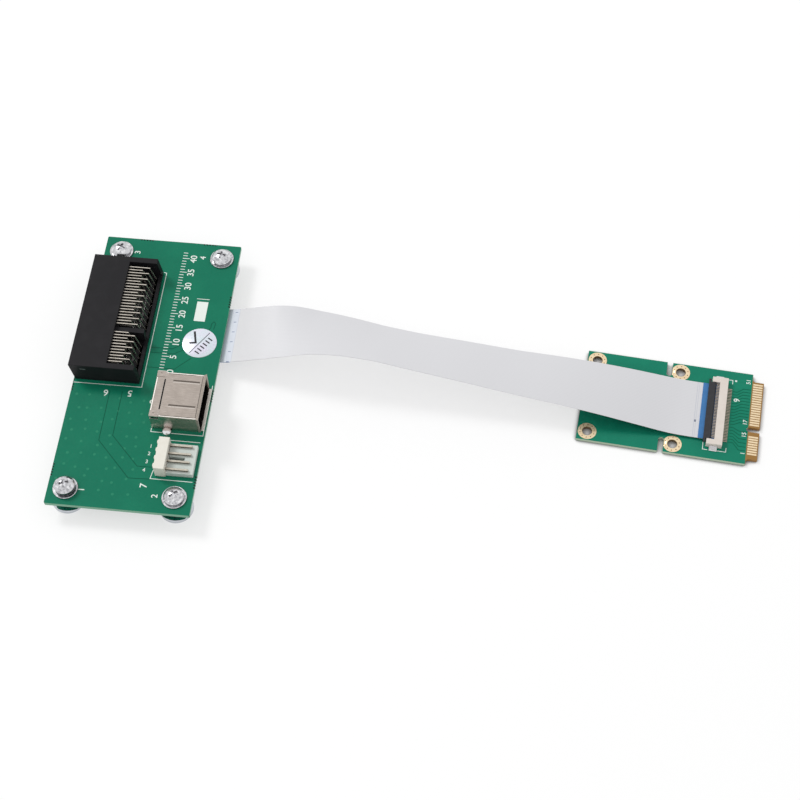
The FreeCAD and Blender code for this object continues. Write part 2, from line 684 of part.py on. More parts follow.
# Main board and its round label
board = block(LEFT, RIGHT, NEAR, FAR, UNDER, TOP)
uprights = [e for e in board.Edges if e.BoundBox.ZLength > BOARD_T / 2]
board = board.makeChamfer(BOARD_CORNER, uprights)
bite_steps = [(i - (BITE_COUNT - 1) / 2) * BITE_PITCH for i in range(BITE_COUNT)]
bite_points = [(RIGHT, NEAR + y + s) for y in BITES_RIGHT_FROM_NEAR for s in bite_steps]
bite_points += [(LEFT, NEAR + y + s) for y in BITES_LEFT_FROM_NEAR for s in bite_steps]
bite_points += [(LEFT + x + s, FAR) for x in BITES_FAR_FROM_LEFT for s in bite_steps]
board_cuts += [rod(BITE_D, x, y, UNDER - OVERCUT, TOP + OVERCUT, PIN_SIDES) for x, y in bite_points]
nodes["main_board"] = board.cut(board_cuts)
nodes["round_label"] = rod(LABEL_D, RIGHT - LABEL_FROM_RIGHT, FAR - LABEL_FROM_FAR,
                           TOP, TOP + LABEL_T, 2 * ROUND_SIDES)

# Mini card in its own frame: hole end at x = 0, tongue towards +X
card_top = CARD_T
tongue_x = CARD_L - TONGUE_L
tongue_y1 = TONGUE_NEAR + TONGUE_W
key_mid = TONGUE_NEAR + KEY_AT
card = block(0, tongue_x, 0, CARD_W, 0, CARD_T)
card = card.fuse(block(tongue_x, CARD_L, TONGUE_NEAR, tongue_y1, 0, CARD_T)).removeSplitter()
roots = [e for e in card.Edges if e.BoundBox.ZLength > CARD_T / 2
         and abs(e.BoundBox.XMin - tongue_x) < 0.01 and 0.01 < e.BoundBox.YMin < CARD_W - 0.01]
card = card.makeChamfer(min(TONGUE_ROOT, TONGUE_ROOT_SHARE * min(TONGUE_NEAR, TONGUE_FAR)), roots)
key_x = CARD_L - KEY_DEPTH + KEY_W / 2
card_cuts = [
    block(key_x, CARD_L + OVERCUT, key_mid - KEY_W / 2, key_mid + KEY_W / 2,
          -OVERCUT, CARD_T + OVERCUT),
    bore(KEY_W, key_x, key_mid, -OVERCUT, CARD_T + OVERCUT),
]
card_holes = [(x, y) for x in (CARD_HOLE_INSET, HALF_HOLE_AT)
              for y in (CARD_HOLE_INSET, CARD_W - CARD_HOLE_INSET)]
card_cuts += [Part.makeCylinder(CARD_HOLE_D / 2, CARD_T, Vector(x, y, 0)) for x, y in card_holes]
break_run = BREAK_DEPTH - BREAK_W / 2
for y0, y1, y_end in ((-OVERCUT, break_run, break_run),
                      (CARD_W - break_run, CARD_W + OVERCUT, CARD_W - break_run)):
    card_cuts.append(block(BREAK_AT - BREAK_W / 2, BREAK_AT + BREAK_W / 2, y0, y1,
                           -OVERCUT, CARD_T + OVERCUT))
    card_cuts.append(bore(BREAK_W, BREAK_AT, y_end, -OVERCUT, CARD_T + OVERCUT))
nodes["mini_card"] = on_card(card.cut(card_cuts))

finger = block(CARD_L - FINGER_INSET - FINGER_L, CARD_L - FINGER_INSET,
               -FINGER_W / 2, FINGER_W / 2, 0, FINGER_T)
fingers = []
for end, y0, y1 in ((FINGER_END_NEAR, TONGUE_NEAR, key_mid - KEY_W / 2),
                    (FINGER_END_FAR, key_mid + KEY_W / 2, tongue_y1)):
    count = int((y1 - y0 - 2 * end) / FINGER_PITCH) + 1
    start = (y0 + y1) / 2 - (count - 1) / 2 * FINGER_PITCH
    fingers += [at(finger, 0, start + i * FINGER_PITCH) for i in range(count)]
nodes["card_fingers_top"] = on_card(at(group(fingers), 0, 0, card_top))
nodes["card_fingers_bottom"] = on_card(at(group(fingers), 0, 0, -FINGER_T))
pad = rod(PAD_D, 0, 0, 0, FINGER_T).cut(bore(CARD_HOLE_D, 0, 0, -OVERCUT, OVERCUT))
half_gap = HALF_HOLE_AT - BREAK_AT - BREAK_W / 2
pad_trim = block(-PAD_D, -half_gap, -PAD_D, PAD_D, -OVERCUT, OVERCUT)
pads = []
for x, y in card_holes:
    land = pad.cut(pad_trim) if x == HALF_HOLE_AT and half_gap < PAD_D / 2 else pad
    pads.append(at(land, x, y))
nodes["card_hole_pads"] = on_card(at(group(pads), 0, 0, card_top))


# Flip-latch connector in its own frame: cable enters towards +X, board at z = 0
def flip_connector():
    inner = RIBBON_W / 2 + ZIF_SIDE_CLEAR
    outer = inner + ZIF_EAR_T
    bar_back = ZIF_BAR_AT + ZIF_BAR_D
    cable_z = ZIF_FLOOR + ZIF_CABLE_CLEAR
    pocket_top = cable_z + RIBBON_T + STIFFENER_T + ZIF_CABLE_CLEAR
    axis_z = pocket_top + LATCH_ROD_R
    body = block(ZIF_EAR_AT, bar_back, -outer, outer, 0, ZIF_FLOOR)
    body = body.fuse([
        block(ZIF_BAR_AT, bar_back, -outer, outer, 0, ZIF_H),
        block(ZIF_EAR_AT, ZIF_BAR_AT, -outer, -inner, 0, ZIF_EAR_H),
        block(ZIF_EAR_AT, ZIF_BAR_AT, inner, outer, 0, ZIF_EAR_H),
    ])
    web = bar_back - ZIF_WEB_BACK
    points = [
        (bar_back + ZIF_TAIL_L, ZIF_CONTACT_T / 2),
        (web, ZIF_CONTACT_T / 2),
        (web, ZIF_ARM_LIFT),
        (ZIF_BAR_AT - ZIF_ARM_REACH, ZIF_ARM_LIFT),
    ]
    contact = strip(points, [0, 0], ZIF_CONTACT_T, ZIF_CONTACT_W)
    room = ZIF_CONTACT_T + 2 * ZIF_CONTACT_CLEAR
    comb = strip(points, [0, 0], room, (WAYS - 1) * WAY_PITCH + ZIF_CONTACT_W + 2 * ZIF_CONTACT_CLEAR)
    trunnion_hole = TRUNNION_L + TRUNNION_CLEAR
    hole_r = (TRUNNION_R + TRUNNION_CLEAR) / math.cos(math.pi / PIN_SIDES)
    hole = ring(hole_r, LATCH_REACH, axis_z, PIN_SIDES)
    holes = [outline_y(hole, *sorted((side * inner, side * (inner + trunnion_hole)))) for side in (-1, 1)]
    pocket = block(ZIF_BAR_AT - OVERCUT, ZIF_BAR_AT + ZIF_POCKET_D, -inner, inner,
                   ZIF_FLOOR, pocket_top)
    body = body.cut([pocket, comb] + holes).removeSplitter()
    ways = [(i - (WAYS - 1) / 2) * WAY_PITCH for i in range(WAYS)]
    # Latch: front bar in front of the ears, plate and rod between them, trunnions in the ears
    plate = inner - LATCH_END_GAP
    z0 = pocket_top - ZIF_CABLE_CLEAR + LATCH_GAP
    latch = block(0, LATCH_BAR_D, -LATCH_BAR_L / 2, LATCH_BAR_L / 2, z0, z0 + LATCH_T)
    latch = latch.fuse([
        block(0, LATCH_REACH, -plate, plate, z0, z0 + LATCH_T),
        outline_y(ring(LATCH_ROD_R, LATCH_REACH, axis_z, PIN_SIDES), -plate, plate),
        outline_y(ring(TRUNNION_R, LATCH_REACH, axis_z, PIN_SIDES),
                  -inner - TRUNNION_L, inner + TRUNNION_L),
    ]).removeSplitter()
    tab = [
        (outer, 0),
        (outer + ZIF_TAB_W, 0),
        (outer + ZIF_TAB_W, ZIF_TAB_T),
        (outer + ZIF_TAB_T, ZIF_TAB_T),
        (outer + ZIF_TAB_T, ZIF_TAB_H),
        (outer, ZIF_TAB_H),
    ]
    tab_x = ZIF_BAR_AT - ZIF_TAB_L / 2
    tabs = [outline_x([(side * y, z) for y, z in tab], tab_x, tab_x + ZIF_TAB_L) for side in (-1, 1)]
    return {
        "housing": body,
        "contacts": group([at(contact, 0, y) for y in ways]),
        "latch": latch,
        "solder_tabs": group(tabs),
    }, cable_z + RIBBON_T / 2, axis_z


zif, cable_mid, latch_axis_z = flip_connector()
card_mid = CARD_W / 2
zif_board_x = RIGHT - ZIF_BOARD_SETBACK
for name, shape in zif.items():
    nodes["card_ffc_" + name] = on_card(at(shape, ZIF_CARD_AT, card_mid, card_top))
    hung = shape.rotated(Vector(), Vector(0, 1, 0), 180)
    nodes["board_ffc_" + name] = at(hung, zif_board_x, ZIF_BOARD_Y, UNDER)

# Ribbon: one upright plane between the two connectors, lines joined by tangent arcs
insert_at = ZIF_BAR_AT + ZIF_INSERT
begin = Vector(zif_board_x - insert_at, ZIF_BOARD_Y, 0)
finish = card_point(ZIF_CARD_AT + insert_at, card_mid)
plan = finish - begin
plan_turn = math.degrees(math.atan2(plan.y, plan.x))
z_begin = UNDER - cable_mid
z_finish = FINGER_T + card_top + cable_mid
route = [(0, z_begin), (RIBBON_BOARD_RUN, z_begin)] + list(RIBBON_ROUTE)
route += [(plan.Length - RIBBON_CARD_RUN, z_finish), (plan.Length, z_finish)]
legs_v = [Vector(b[0] - a[0], 0, b[1] - a[1]) for a, b in zip(route, route[1:])]
radii = []
ribbon_length = sum(v.Length for v in legs_v)
for v1, v2 in zip(legs_v, legs_v[1:]):
    half_turn = v1.getAngle(v2) / 2
    tangent = RIBBON_BEND_SHARE * min(v1.Length, v2.Length)
    radii.append(tangent / math.tan(half_turn))
    ribbon_length += 2 * half_turn * radii[-1] - 2 * tangent
ribbon = strip(route, radii, RIBBON_T, RIBBON_W)


def on_plan(shape):
    return at(shape.rotated(Vector(), Vector(0, 0, 1), plan_turn), begin.x, begin.y)


half_w = RIBBON_W / 2
nodes["ribbon_cable"] = on_plan(ribbon)
nodes["ribbon_stiffener_board"] = on_plan(block(
    0, STIFFENER_L, -half_w, half_w, z_begin - RIBBON_T / 2 - STIFFENER_T, z_begin - RIBBON_T / 2))
nodes["ribbon_stiffener_card"] = on_plan(block(
    plan.Length - STIFFENER_L, plan.Length, -half_w, half_w,
    z_finish + RIBBON_T / 2, z_finish + RIBBON_T / 2 + STIFFENER_T))

# Origin: middle of the footprint of the boards and what they carry
solid_box = FreeCAD.BoundBox()
for name, shape in nodes.items():
    if not name.startswith("ribbon"):
        solid_box.add(shape.optimalBoundingBox(False))
shift = Vector(-solid_box.Center.x, -solid_box.Center.y, 0)

os.makedirs("parts", exist_ok=True)
for name, shape in nodes.items():
    shape.translated(shift).exportStep("parts/" + name + ".step")

print("origin shift", round(shift.x, 4), round(shift.y, 4))
print("ribbon length", round(ribbon_length, 2),
      "volume over section", round(ribbon.Volume / (RIBBON_T * RIBBON_W), 2))
print("ribbon radii", [round(r, 1) for r in radii])
print("ribbon from", [round(v, 3) for v in begin + shift], "turned", round(plan_turn, 4))
print("ribbon route", [(round(x, 3), round(z, 3)) for x, z in route])
print("latch axis", LATCH_REACH, round(latch_axis_z, 4))
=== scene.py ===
"""Adapter from a mini card socket to a full size slot, dressed for the camera.

A green main board on four polished feet carries a black right-angle slot, a USB-A receptacle and
a power header. A white ribbon cable runs from under its right edge to a small green card with a
gold edge tongue. Metres, +Z up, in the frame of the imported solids.
"""

import math

import bmesh
import bpy
from mathutils import Matrix, Vector


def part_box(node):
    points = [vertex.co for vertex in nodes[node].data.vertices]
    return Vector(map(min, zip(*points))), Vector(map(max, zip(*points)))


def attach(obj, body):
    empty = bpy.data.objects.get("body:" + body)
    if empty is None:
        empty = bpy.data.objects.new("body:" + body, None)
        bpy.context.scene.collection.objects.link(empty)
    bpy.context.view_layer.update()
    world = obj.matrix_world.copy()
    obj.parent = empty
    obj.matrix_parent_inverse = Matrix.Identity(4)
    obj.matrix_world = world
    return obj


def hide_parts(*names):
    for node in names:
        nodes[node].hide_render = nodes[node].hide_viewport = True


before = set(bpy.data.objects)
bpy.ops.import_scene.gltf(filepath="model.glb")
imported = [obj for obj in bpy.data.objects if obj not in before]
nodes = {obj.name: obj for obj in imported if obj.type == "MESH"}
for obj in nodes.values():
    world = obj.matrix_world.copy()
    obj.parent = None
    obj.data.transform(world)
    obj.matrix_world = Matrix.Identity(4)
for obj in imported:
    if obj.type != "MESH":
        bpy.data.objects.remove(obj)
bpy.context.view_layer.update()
mm = 0.001

# Feet, washers and screws. Four turned feet with a wide polished flange stand under the main
# board. Each takes a bright zinc-plated pan-head screw with a cross recess, through a flat
# washer and the board. The near left screw isn't driven home.
board_low, board_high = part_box("main_board")
hole_inset = 5.08 * mm
holes = [(x, y) for x in (board_low.x + hole_inset, board_high.x - hole_inset)
         for y in (board_low.y + hole_inset, board_high.y - hole_inset)]
washer_thick = 0.5 * mm
screw_lifts = [0.8 * mm, 0, 0, 0]
recess_turns = [math.radians(a) for a in (20, 65, 40, 80)]


def paint(red, green, blue):
    """Shader colour of a display colour given from 0 to 255."""
    parts = [v / 255 for v in (red, green, blue)]
    return tuple(v / 12.92 if v <= 0.04045 else ((v + 0.055) / 1.055) ** 2.4 for v in parts) + (1.0,)


def finish(name, colour, roughness, metal=0.0, gloss=0.5):
    """A new finish in one colour."""
    mat = bpy.data.materials.new(name)
    mat.use_nodes = True
    sockets = mat.node_tree.nodes["Principled BSDF"].inputs
    sockets["Base Color"].default_value = colour
    sockets["Roughness"].default_value = roughness
    sockets["Metallic"].default_value = metal
    sockets["Specular IOR Level"].default_value = gloss
    return mat


def speckle(mat, size, stretch=(1, 1, 1)):
    """Noise on the piece's own coordinates, its spots about size across."""
    tree = mat.node_tree
    coords = tree.nodes.new("ShaderNodeTexCoord")
    place = tree.nodes.new("ShaderNodeMapping")
    place.inputs["Scale"].default_value = stretch
    spots = tree.nodes.new("ShaderNodeTexNoise")
    spots.inputs["Scale"].default_value = 1 / size
    spots.inputs["Detail"].default_value = 3.0
    tree.links.new(coords.outputs["Object"], place.inputs["Vector"])
    tree.links.new(place.outputs["Vector"], spots.inputs["Vector"])
    return spots.outputs["Fac"]


def grain(mat, size, rough, depth, stretch=(1, 1, 1)):
    """Surface grain: roughness between two values and a shallow relief of that depth."""
    tree = mat.node_tree
    shader = tree.nodes["Principled BSDF"]
    spots = speckle(mat, size, stretch)
    span = tree.nodes.new("ShaderNodeMapRange")
    for name, value in (("From Min", 0.3), ("From Max", 0.7), ("To Min", rough[0]), ("To Max", rough[1])):
        span.inputs[name].default_value = value
    relief = tree.nodes.new("ShaderNodeBump")
    relief.inputs["Distance"].default_value = depth
    tree.links.new(spots, span.inputs["Value"])
    tree.links.new(span.outputs["Result"], shader.inputs["Roughness"])
    tree.links.new(spots, relief.inputs["Height"])
    tree.links.new(relief.outputs["Normal"], shader.inputs["Normal"])


def blend_in(mat, share, colour):
    """Lays a second colour over the finish's own wherever share is high."""
    tree = mat.node_tree
    base = tree.nodes["Principled BSDF"].inputs["Base Color"]
    mix = tree.nodes.new("ShaderNodeMix")
    mix.data_type = "RGBA"
    if base.is_linked:
        tree.links.new(base.links[0].from_socket, mix.inputs[6])
    else:
        mix.inputs[6].default_value = base.default_value
    mix.inputs[7].default_value = colour
    tree.links.new(share, mix.inputs[0])
    tree.links.new(mix.outputs[2], base)


def stepped(mat, value, low, high, top=1.0):
    """Share that rises from 0 at low to top at high."""
    span = mat.node_tree.nodes.new("ShaderNodeMapRange")
    for name, number in (("From Min", low), ("From Max", high), ("To Min", 0.0), ("To Max", top)):
        span.inputs[name].default_value = number
    mat.node_tree.links.new(value, span.inputs["Value"])
    return span.outputs["Result"]


def mottle(mat, size, low, high, top, colour, stretch=(1, 1, 1)):
    """Soft patches of a second colour, about size across."""
    blend_in(mat, stepped(mat, speckle(mat, size, stretch), low, high, top), colour)


def worked(mat, operation, a, b):
    """One step of arithmetic between node values or plain numbers."""
    step = mat.node_tree.nodes.new("ShaderNodeMath")
    step.operation = operation
    for place, value in ((0, a), (1, b)):
        if isinstance(value, (int, float)):
            step.inputs[place].default_value = value
        else:
            mat.node_tree.links.new(value, step.inputs[place])
    return step.outputs["Value"]


def coordinate(mat, kind):
    """X, Y and Z of the piece's own coordinates or of its faces' normals."""
    tree = mat.node_tree
    coords = tree.nodes.new("ShaderNodeTexCoord")
    parts = tree.nodes.new("ShaderNodeSeparateXYZ")
    tree.links.new(coords.outputs[kind], parts.inputs["Vector"])
    return [parts.outputs[axis] for axis in "XYZ"]


def on_walls(mat):
    """Share that is 1 on upright walls and 0 on level faces."""
    return stepped(mat, worked(mat, "ABSOLUTE", coordinate(mat, "Normal")[2], 0), 0.6, 0.4)


def shade_walls(mat, share, colour):
    """Painted shade: a darker colour on upright walls."""
    blend_in(mat, worked(mat, "MULTIPLY", on_walls(mat), share), colour)


def turned(outline, steps=48):
    """Closed outline of (radius, height) in millimetres, turned about the upright axis."""
    bm = bmesh.new()
    corners = [bm.verts.new((r * mm, 0, z * mm)) for r, z in outline]
    edges = [bm.edges.new((a, b)) for a, b in zip(corners, corners[1:] + corners[:1])
             if a.co.x > 0 or b.co.x > 0]
    bmesh.ops.spin(bm, geom=corners + edges, axis=(0, 0, 1), cent=(0, 0, 0),
                   angle=2 * math.pi, steps=steps)
    bmesh.ops.remove_doubles(bm, verts=bm.verts, dist=1e-7)
    bmesh.ops.recalc_face_normals(bm, faces=bm.faces)
    mesh = bpy.data.meshes.new("turned")
    bm.to_mesh(mesh)
    bm.free()
    mesh.polygons.foreach_set("use_smooth", [True] * len(mesh.polygons))
    mesh.set_sharp_from_angle(angle=math.radians(38))
    return mesh


def made_mesh(holder):
    """The plain mesh that an object's curve, text or modifiers give; the object itself goes."""
    bpy.context.view_layer.update()
    mesh = bpy.data.meshes.new_from_object(
        holder.evaluated_get(bpy.context.evaluated_depsgraph_get()))
    bpy.data.objects.remove(holder)
    return mesh


def holder_for(data):
    """A passing object for a mesh, curve or text."""
    holder = bpy.data.objects.new("holder", data)
    bpy.context.scene.collection.objects.link(holder)
    return holder


def set_inputs(holder, tree, **values):
    """Adds a node tree to an object with its named inputs set."""
    modifier = holder.modifiers.new("tree", "NODES")
    modifier.node_group = tree
    for item in tree.interface.items_tree:
        if item.in_out == "INPUT" and item.name in values:
            modifier[item.identifier] = values[item.name]


def spot_tree():
    """Node tree that sets one piece on every spot, turned and sized by the spot's own values."""
    tree = bpy.data.node_groups.new("set_on_spots", "GeometryNodeTree")
    for name, kind in (("Spots", "Geometry"), ("Piece", "Object"), ("Finish", "Material")):
        tree.interface.new_socket(name, in_out="INPUT", socket_type="NodeSocket" + kind)
    tree.interface.new_socket("Result", in_out="OUTPUT", socket_type="NodeSocketGeometry")
    add = tree.nodes.new
    start, end = add("NodeGroupInput"), add("NodeGroupOutput")
    piece, place = add("GeometryNodeObjectInfo"), add("GeometryNodeInstanceOnPoints")
    real, coat = add("GeometryNodeRealizeInstances"), add("GeometryNodeSetMaterial")
    turn, size = add("GeometryNodeInputNamedAttribute"), add("GeometryNodeInputNamedAttribute")
    turn.inputs["Name"].default_value = "turn"
    size.inputs["Name"].default_value = "size"
    upright = add("ShaderNodeCombineXYZ")
    for a, b in (
        (start.outputs["Spots"], place.inputs["Points"]),
        (start.outputs["Piece"], piece.inputs["Object"]),
        (piece.outputs["Geometry"], place.inputs["Instance"]),
        (turn.outputs["Attribute"], upright.inputs["Z"]),
        (upright.outputs["Vector"], place.inputs["Rotation"]),
        (size.outputs["Attribute"], place.inputs["Scale"]),
        (place.outputs["Instances"], real.inputs["Geometry"]),
        (real.outputs["Geometry"], coat.inputs["Geometry"]),
        (start.outputs["Finish"], coat.inputs["Material"]),
        (coat.outputs["Geometry"], end.inputs["Result"]),
    ):
        tree.links.new(a, b)
    return tree


on_spots = spot_tree()


def set_on_spots(mesh, spots, mat, turns=None, sizes=None):
    """Copies of a mesh on every spot, as one plain mesh."""
    points = bpy.data.meshes.new("spots")
    points.from_pydata(spots, [], [])
    for name, values, plain in (("turn", turns, 0.0), ("size", sizes, 1.0)):
        layer = points.attributes.new(name, "FLOAT", "POINT")
        layer.data.foreach_set("value", values or [plain] * len(spots))
    piece = holder_for(mesh)
    holder = holder_for(points)
    set_inputs(holder, on_spots, Piece=piece, Finish=mat)
    result = made_mesh(holder)
    bpy.data.objects.remove(piece)
    return result


def fit(name, mesh, mat, stands_for=(), body="base"):
    """Puts a finished mesh on its body, in place of the solids that it stands for."""
    mesh.materials.clear()
    mesh.materials.append(mat)
    piece = bpy.data.objects.new(name, mesh)
    bpy.context.scene.collection.objects.link(piece)
    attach(piece, body)
    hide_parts(*stands_for)
    return piece


foot_plating = finish("polished_foot_plating", paint(196, 200, 206), 0.08, metal=1.0)
grain(foot_plating, 1.2 * mm, (0.05, 0.14), 0.002 * mm)
mottle(foot_plating, 2 * mm, 0.45, 0.7, 0.6, paint(176, 180, 187))
foot = turned([(0, 0), (4.45, 0), (4.7, 0.1), (4.8, 0.35), (4.8, 0.85), (4.7, 1.12), (4.4, 1.3),
               (3.0, 1.3), (3.0, 5.0), (1.55, 5.0), (1.55, 1.0), (0, 1.0)], 64)
feet = set_on_spots(foot, [(x, y, 0) for x, y in holes], foot_plating)
fit("polished_feet", feet, foot_plating, ["board_feet"])

bright_zinc = finish("bright_zinc", paint(204, 204, 207), 0.2, metal=1.0)
grain(bright_zinc, 0.35 * mm, (0.1, 0.24), 0.003 * mm)
# Painted reflections: soft grey patches and bright spots on the zinc
mottle(bright_zinc, 0.7 * mm, 0.48, 0.6, 0.75, paint(152, 152, 157))
mottle(bright_zinc, 0.9 * mm, 0.54, 0.62, 0.75, paint(242, 242, 244))
# Painted shade on the upright sides of the heads, the washers and the recess
shade_walls(bright_zinc, 0.7, paint(104, 100, 102))
# Painted shade: the cross recess is a mid grey, a little darker than the head, and it is duller
depth = bright_zinc.node_tree.nodes.new("ShaderNodeAttribute")
depth.attribute_name = "recess_depth"
blend_in(bright_zinc, stepped(bright_zinc, depth.outputs["Fac"], 0.2, 0.9, 0.75), paint(182, 182, 186))
dullness = bright_zinc.node_tree.nodes["Principled BSDF"].inputs["Roughness"]
punched = stepped(bright_zinc, depth.outputs["Fac"], 0.1, 0.4, 0.45)
bright_zinc.node_tree.links.new(
    worked(bright_zinc, "ADD", dullness.links[0].from_socket, punched), dullness)
washer = turned([(1.7, 0), (3.4, 0), (3.5, 0.1), (3.5, 0.4), (3.4, 0.5), (1.7, 0.5)])
washers = set_on_spots(washer, [(x, y, board_high.z) for x, y in holes], bright_zinc)
fit("flat_washers", washers, bright_zinc, ["board_washers"])

head_radius, head_height, crown_radius = 2.9, 2.1, 3.704
recess_reach, recess_wide, recess_floor = 1.75, 0.42, 1.35
floor_reach, floor_wide, over_head = 0.95, 0.3, 2.3
crown = [(crown_radius * math.sin(a), head_height - crown_radius * (1 - math.cos(a)))
         for a in [math.asin(head_radius / crown_radius) * k / 8 for k in range(8, 0, -1)]]
screw = holder_for(turned([(0, -5.2), (1.5, -5.2), (1.5, 0), (2.78, 0), (head_radius, 0.12)]
                          + crown + [(0, head_height)]))
for along_x in (True, False):
    bm = bmesh.new()
    top = bmesh.ops.create_cube(bm, size=1.0)["verts"]
    for v in top:
        long, wide = (recess_reach, recess_wide) if v.co.z > 0 else (floor_reach, floor_wide)
        half = (long, wide) if along_x else (wide, long)
        v.co = Vector((math.copysign(half[0], v.co.x), math.copysign(half[1], v.co.y),
                       over_head if v.co.z > 0 else recess_floor)) * mm
    arm_mesh = bpy.data.meshes.new("recess_arm")
    bm.to_mesh(arm_mesh)
    bm.free()
    arm = holder_for(arm_mesh)
    cut = screw.modifiers.new("recess", "BOOLEAN")
    cut.operation = "DIFFERENCE"
    cut.object = arm
    screw = holder_for(made_mesh(screw))
    bpy.data.objects.remove(arm)


def under_crown(point):
    """How deep a point of the cross recess lies under the head's crown, in millimetres."""
    reach = point.xy.length / mm
    if reach > recess_reach or point.z < 0:
        return 0.0
    crown_height = head_height - crown_radius + math.sqrt(crown_radius ** 2 - reach ** 2)
    return max(crown_height - point.z / mm, 0.0)


shade = screw.data.attributes.new("recess_depth", "FLOAT", "POINT")
shade.data.foreach_set("value", [under_crown(v.co) for v in screw.data.vertices])
screws = set_on_spots(
    screw.data,
    [(x, y, board_high.z + washer_thick + lift) for (x, y), lift in zip(holes, screw_lifts)],
    bright_zinc, turns=recess_turns)
bpy.data.objects.remove(screw)
fit("pan_head_screws", screws, bright_zinc, ["board_screws"])


# Main board. Glass-epoxy laminate under a green solder mask, with pale cut edges, rows of
# break-off bites, etched gaps that show dark through the mask, filled vias and white print.
# Its parts are soldered from below, and the solder stands round each lead as a small cone.
def on_board(*points):
    """Points in millimetres from the board's near left corner."""
    return [(board_low.x + u * mm, board_low.y + v * mm) for u, v in points]


def laminate(name, green, thin_mask, thick_mask, cut_edge):
    """Green mask on the flat faces, bare glass-epoxy on the cut edges."""
    mat = finish(name, green, 0.22, gloss=0.13)
    grain(mat, 0.5 * mm, (0.16, 0.28), 0.0004 * mm)
    mottle(mat, 9 * mm, 0.42, 0.68, 0.55, thin_mask)
    mottle(mat, 0.9 * mm, 0.5, 0.75, 0.35, thick_mask)
    blend_in(mat, on_walls(mat), cut_edge)
    return mat


def coat(mat, *names):
    """Gives solids of the frame their finish."""
    for name in names:
        for place in nodes[name].material_slots:
            place.material = mat


def stroke(bm, points, width, z, down=False):
    """Flat printed or etched line along points, with square ends and mitred corners."""
    points = [Vector(p) for p in points]
    ways = [(b - a).normalized() for a, b in zip(points, points[1:])]
    points[0] -= ways[0] * width / 2
    points[-1] += ways[-1] * width / 2
    sides = []
    for p, before, after in zip(points, ways[:1] + ways, ways + ways[-1:]):
        mitre = (before + after).normalized()
        out = Vector((-mitre.y, mitre.x)) * width / 2 / mitre.dot(after)
        sides.append([bm.verts.new((*q, z)) for q in (p + out, p - out)])
    for (left, right), (next_left, next_right) in zip(sides, sides[1:]):
        face = bm.faces.new((right, next_right, next_left, left))
        if down:
            face.normal_flip()


def figure(bm, text, spot, height, turn, z):
    """Printed number centred on a spot."""
    words = bpy.data.curves.new("figure", "FONT")
    words.body = text
    words.align_x = "CENTER"
    words.align_y = "CENTER"
    words.offset = 0.012
    digit_height = 0.7
    mesh = made_mesh(holder_for(words))
    mesh.transform(Matrix.Translation((*spot, z)) @ Matrix.Rotation(math.radians(turn), 4, "Z")
                   @ Matrix.Scale(height / digit_height, 4))
    bm.from_mesh(mesh)
    bpy.data.meshes.remove(mesh)


def flat_mesh(name, bm):
    """Plain mesh of what was drawn."""
    mesh = bpy.data.meshes.new(name)
    bm.to_mesh(mesh)
    bm.free()
    return mesh


board_mask = laminate("board_mask_green", paint(17, 113, 87), paint(23, 122, 93), paint(13, 105, 80),
                      paint(120, 165, 140))
# Painted shade: the walls of the bites and holes inside the outline are dark
x, y, _ = coordinate(board_mask, "Object")
board_mid, board_half = (board_low + board_high) / 2, (board_high - board_low) / 2
past_side = worked(board_mask, "SUBTRACT", worked(
    board_mask, "ABSOLUTE", worked(board_mask, "SUBTRACT", x, board_mid.x), 0), board_half.x)
past_end = worked(board_mask, "SUBTRACT", worked(
    board_mask, "ABSOLUTE", worked(board_mask, "SUBTRACT", y, board_mid.y), 0), board_half.y)
inside = stepped(board_mask, worked(board_mask, "MAXIMUM", past_side, past_end), -0.03 * mm, -0.06 * mm)
blend_in(board_mask, worked(board_mask, "MULTIPLY", inside, on_walls(board_mask)), paint(14, 38, 32))
coat(board_mask, "main_board")
board_top, board_under = board_high.z, board_low.z
mask_skin = 0.012 * mm

etched_gap = finish("etched_gap", paint(10, 82, 61), 0.4, gloss=0.05)
grain(etched_gap, 0.3 * mm, (0.34, 0.5), 0.001 * mm)
trace_wide = 0.2 * mm
bm = bmesh.new()
for line in (
    [(11.16, 37.5), (11.2, 21.1), (21.7, 10.0), (27.6, 10.2)],
    [(14.76, 37.5), (14.81, 23.0), (23.5, 13.95), (28.6, 14.0)],
    [(20.4, 53.3), (26.4, 53.3), (29.2, 55.3)],
    [(20.4, 51.6), (27.0, 51.6), (29.6, 53.2)],
    [(20.4, 46.5), (28.2, 46.5), (32.3, 50.6)],
    [(35.6, 60.6), (36.3, 61.6), (36.3, 63.0), (36.9, 63.9), (37.5, 63.2), (37.2, 61.2)],
):
    stroke(bm, on_board(*line), trace_wide, board_top + mask_skin)
fit("etched_gaps", flat_mesh("etched_gaps", bm), etched_gap)

# Painted shade: dark strips lie in the break-off bites, five to a group, where the tabs of the panel were
bite_shade_finish = finish("bite_resin", paint(20, 32, 28), 0.6, gloss=0.1)
grain(bite_shade_finish, 0.2 * mm, (0.5, 0.7), 0.002 * mm)
board_wide, board_long = ((high - low) / mm for low, high in zip(board_low.xy, board_high.xy))
bite_pitch, bite_wide, insets = 0.85, 0.42, (0.21, 0.3)
bm = bmesh.new()
for step in range(-2, 3):
    shift = step * bite_pitch
    bites = [[(board_wide - inset, v + shift) for inset in insets] for v in (71.2, 38.6, 10.4)]
    bites += [[(inset, v + shift) for inset in insets] for v in (38.6, 10.6)]
    bites += [[(u + shift, board_long - inset) for inset in insets] for u in (12.0, 31.2)]
    for line in bites:
        stroke(bm, on_board(*line), bite_wide * mm, board_top + mask_skin)
fit("bite_resin", flat_mesh("bite_resin", bm), bite_shade_finish)

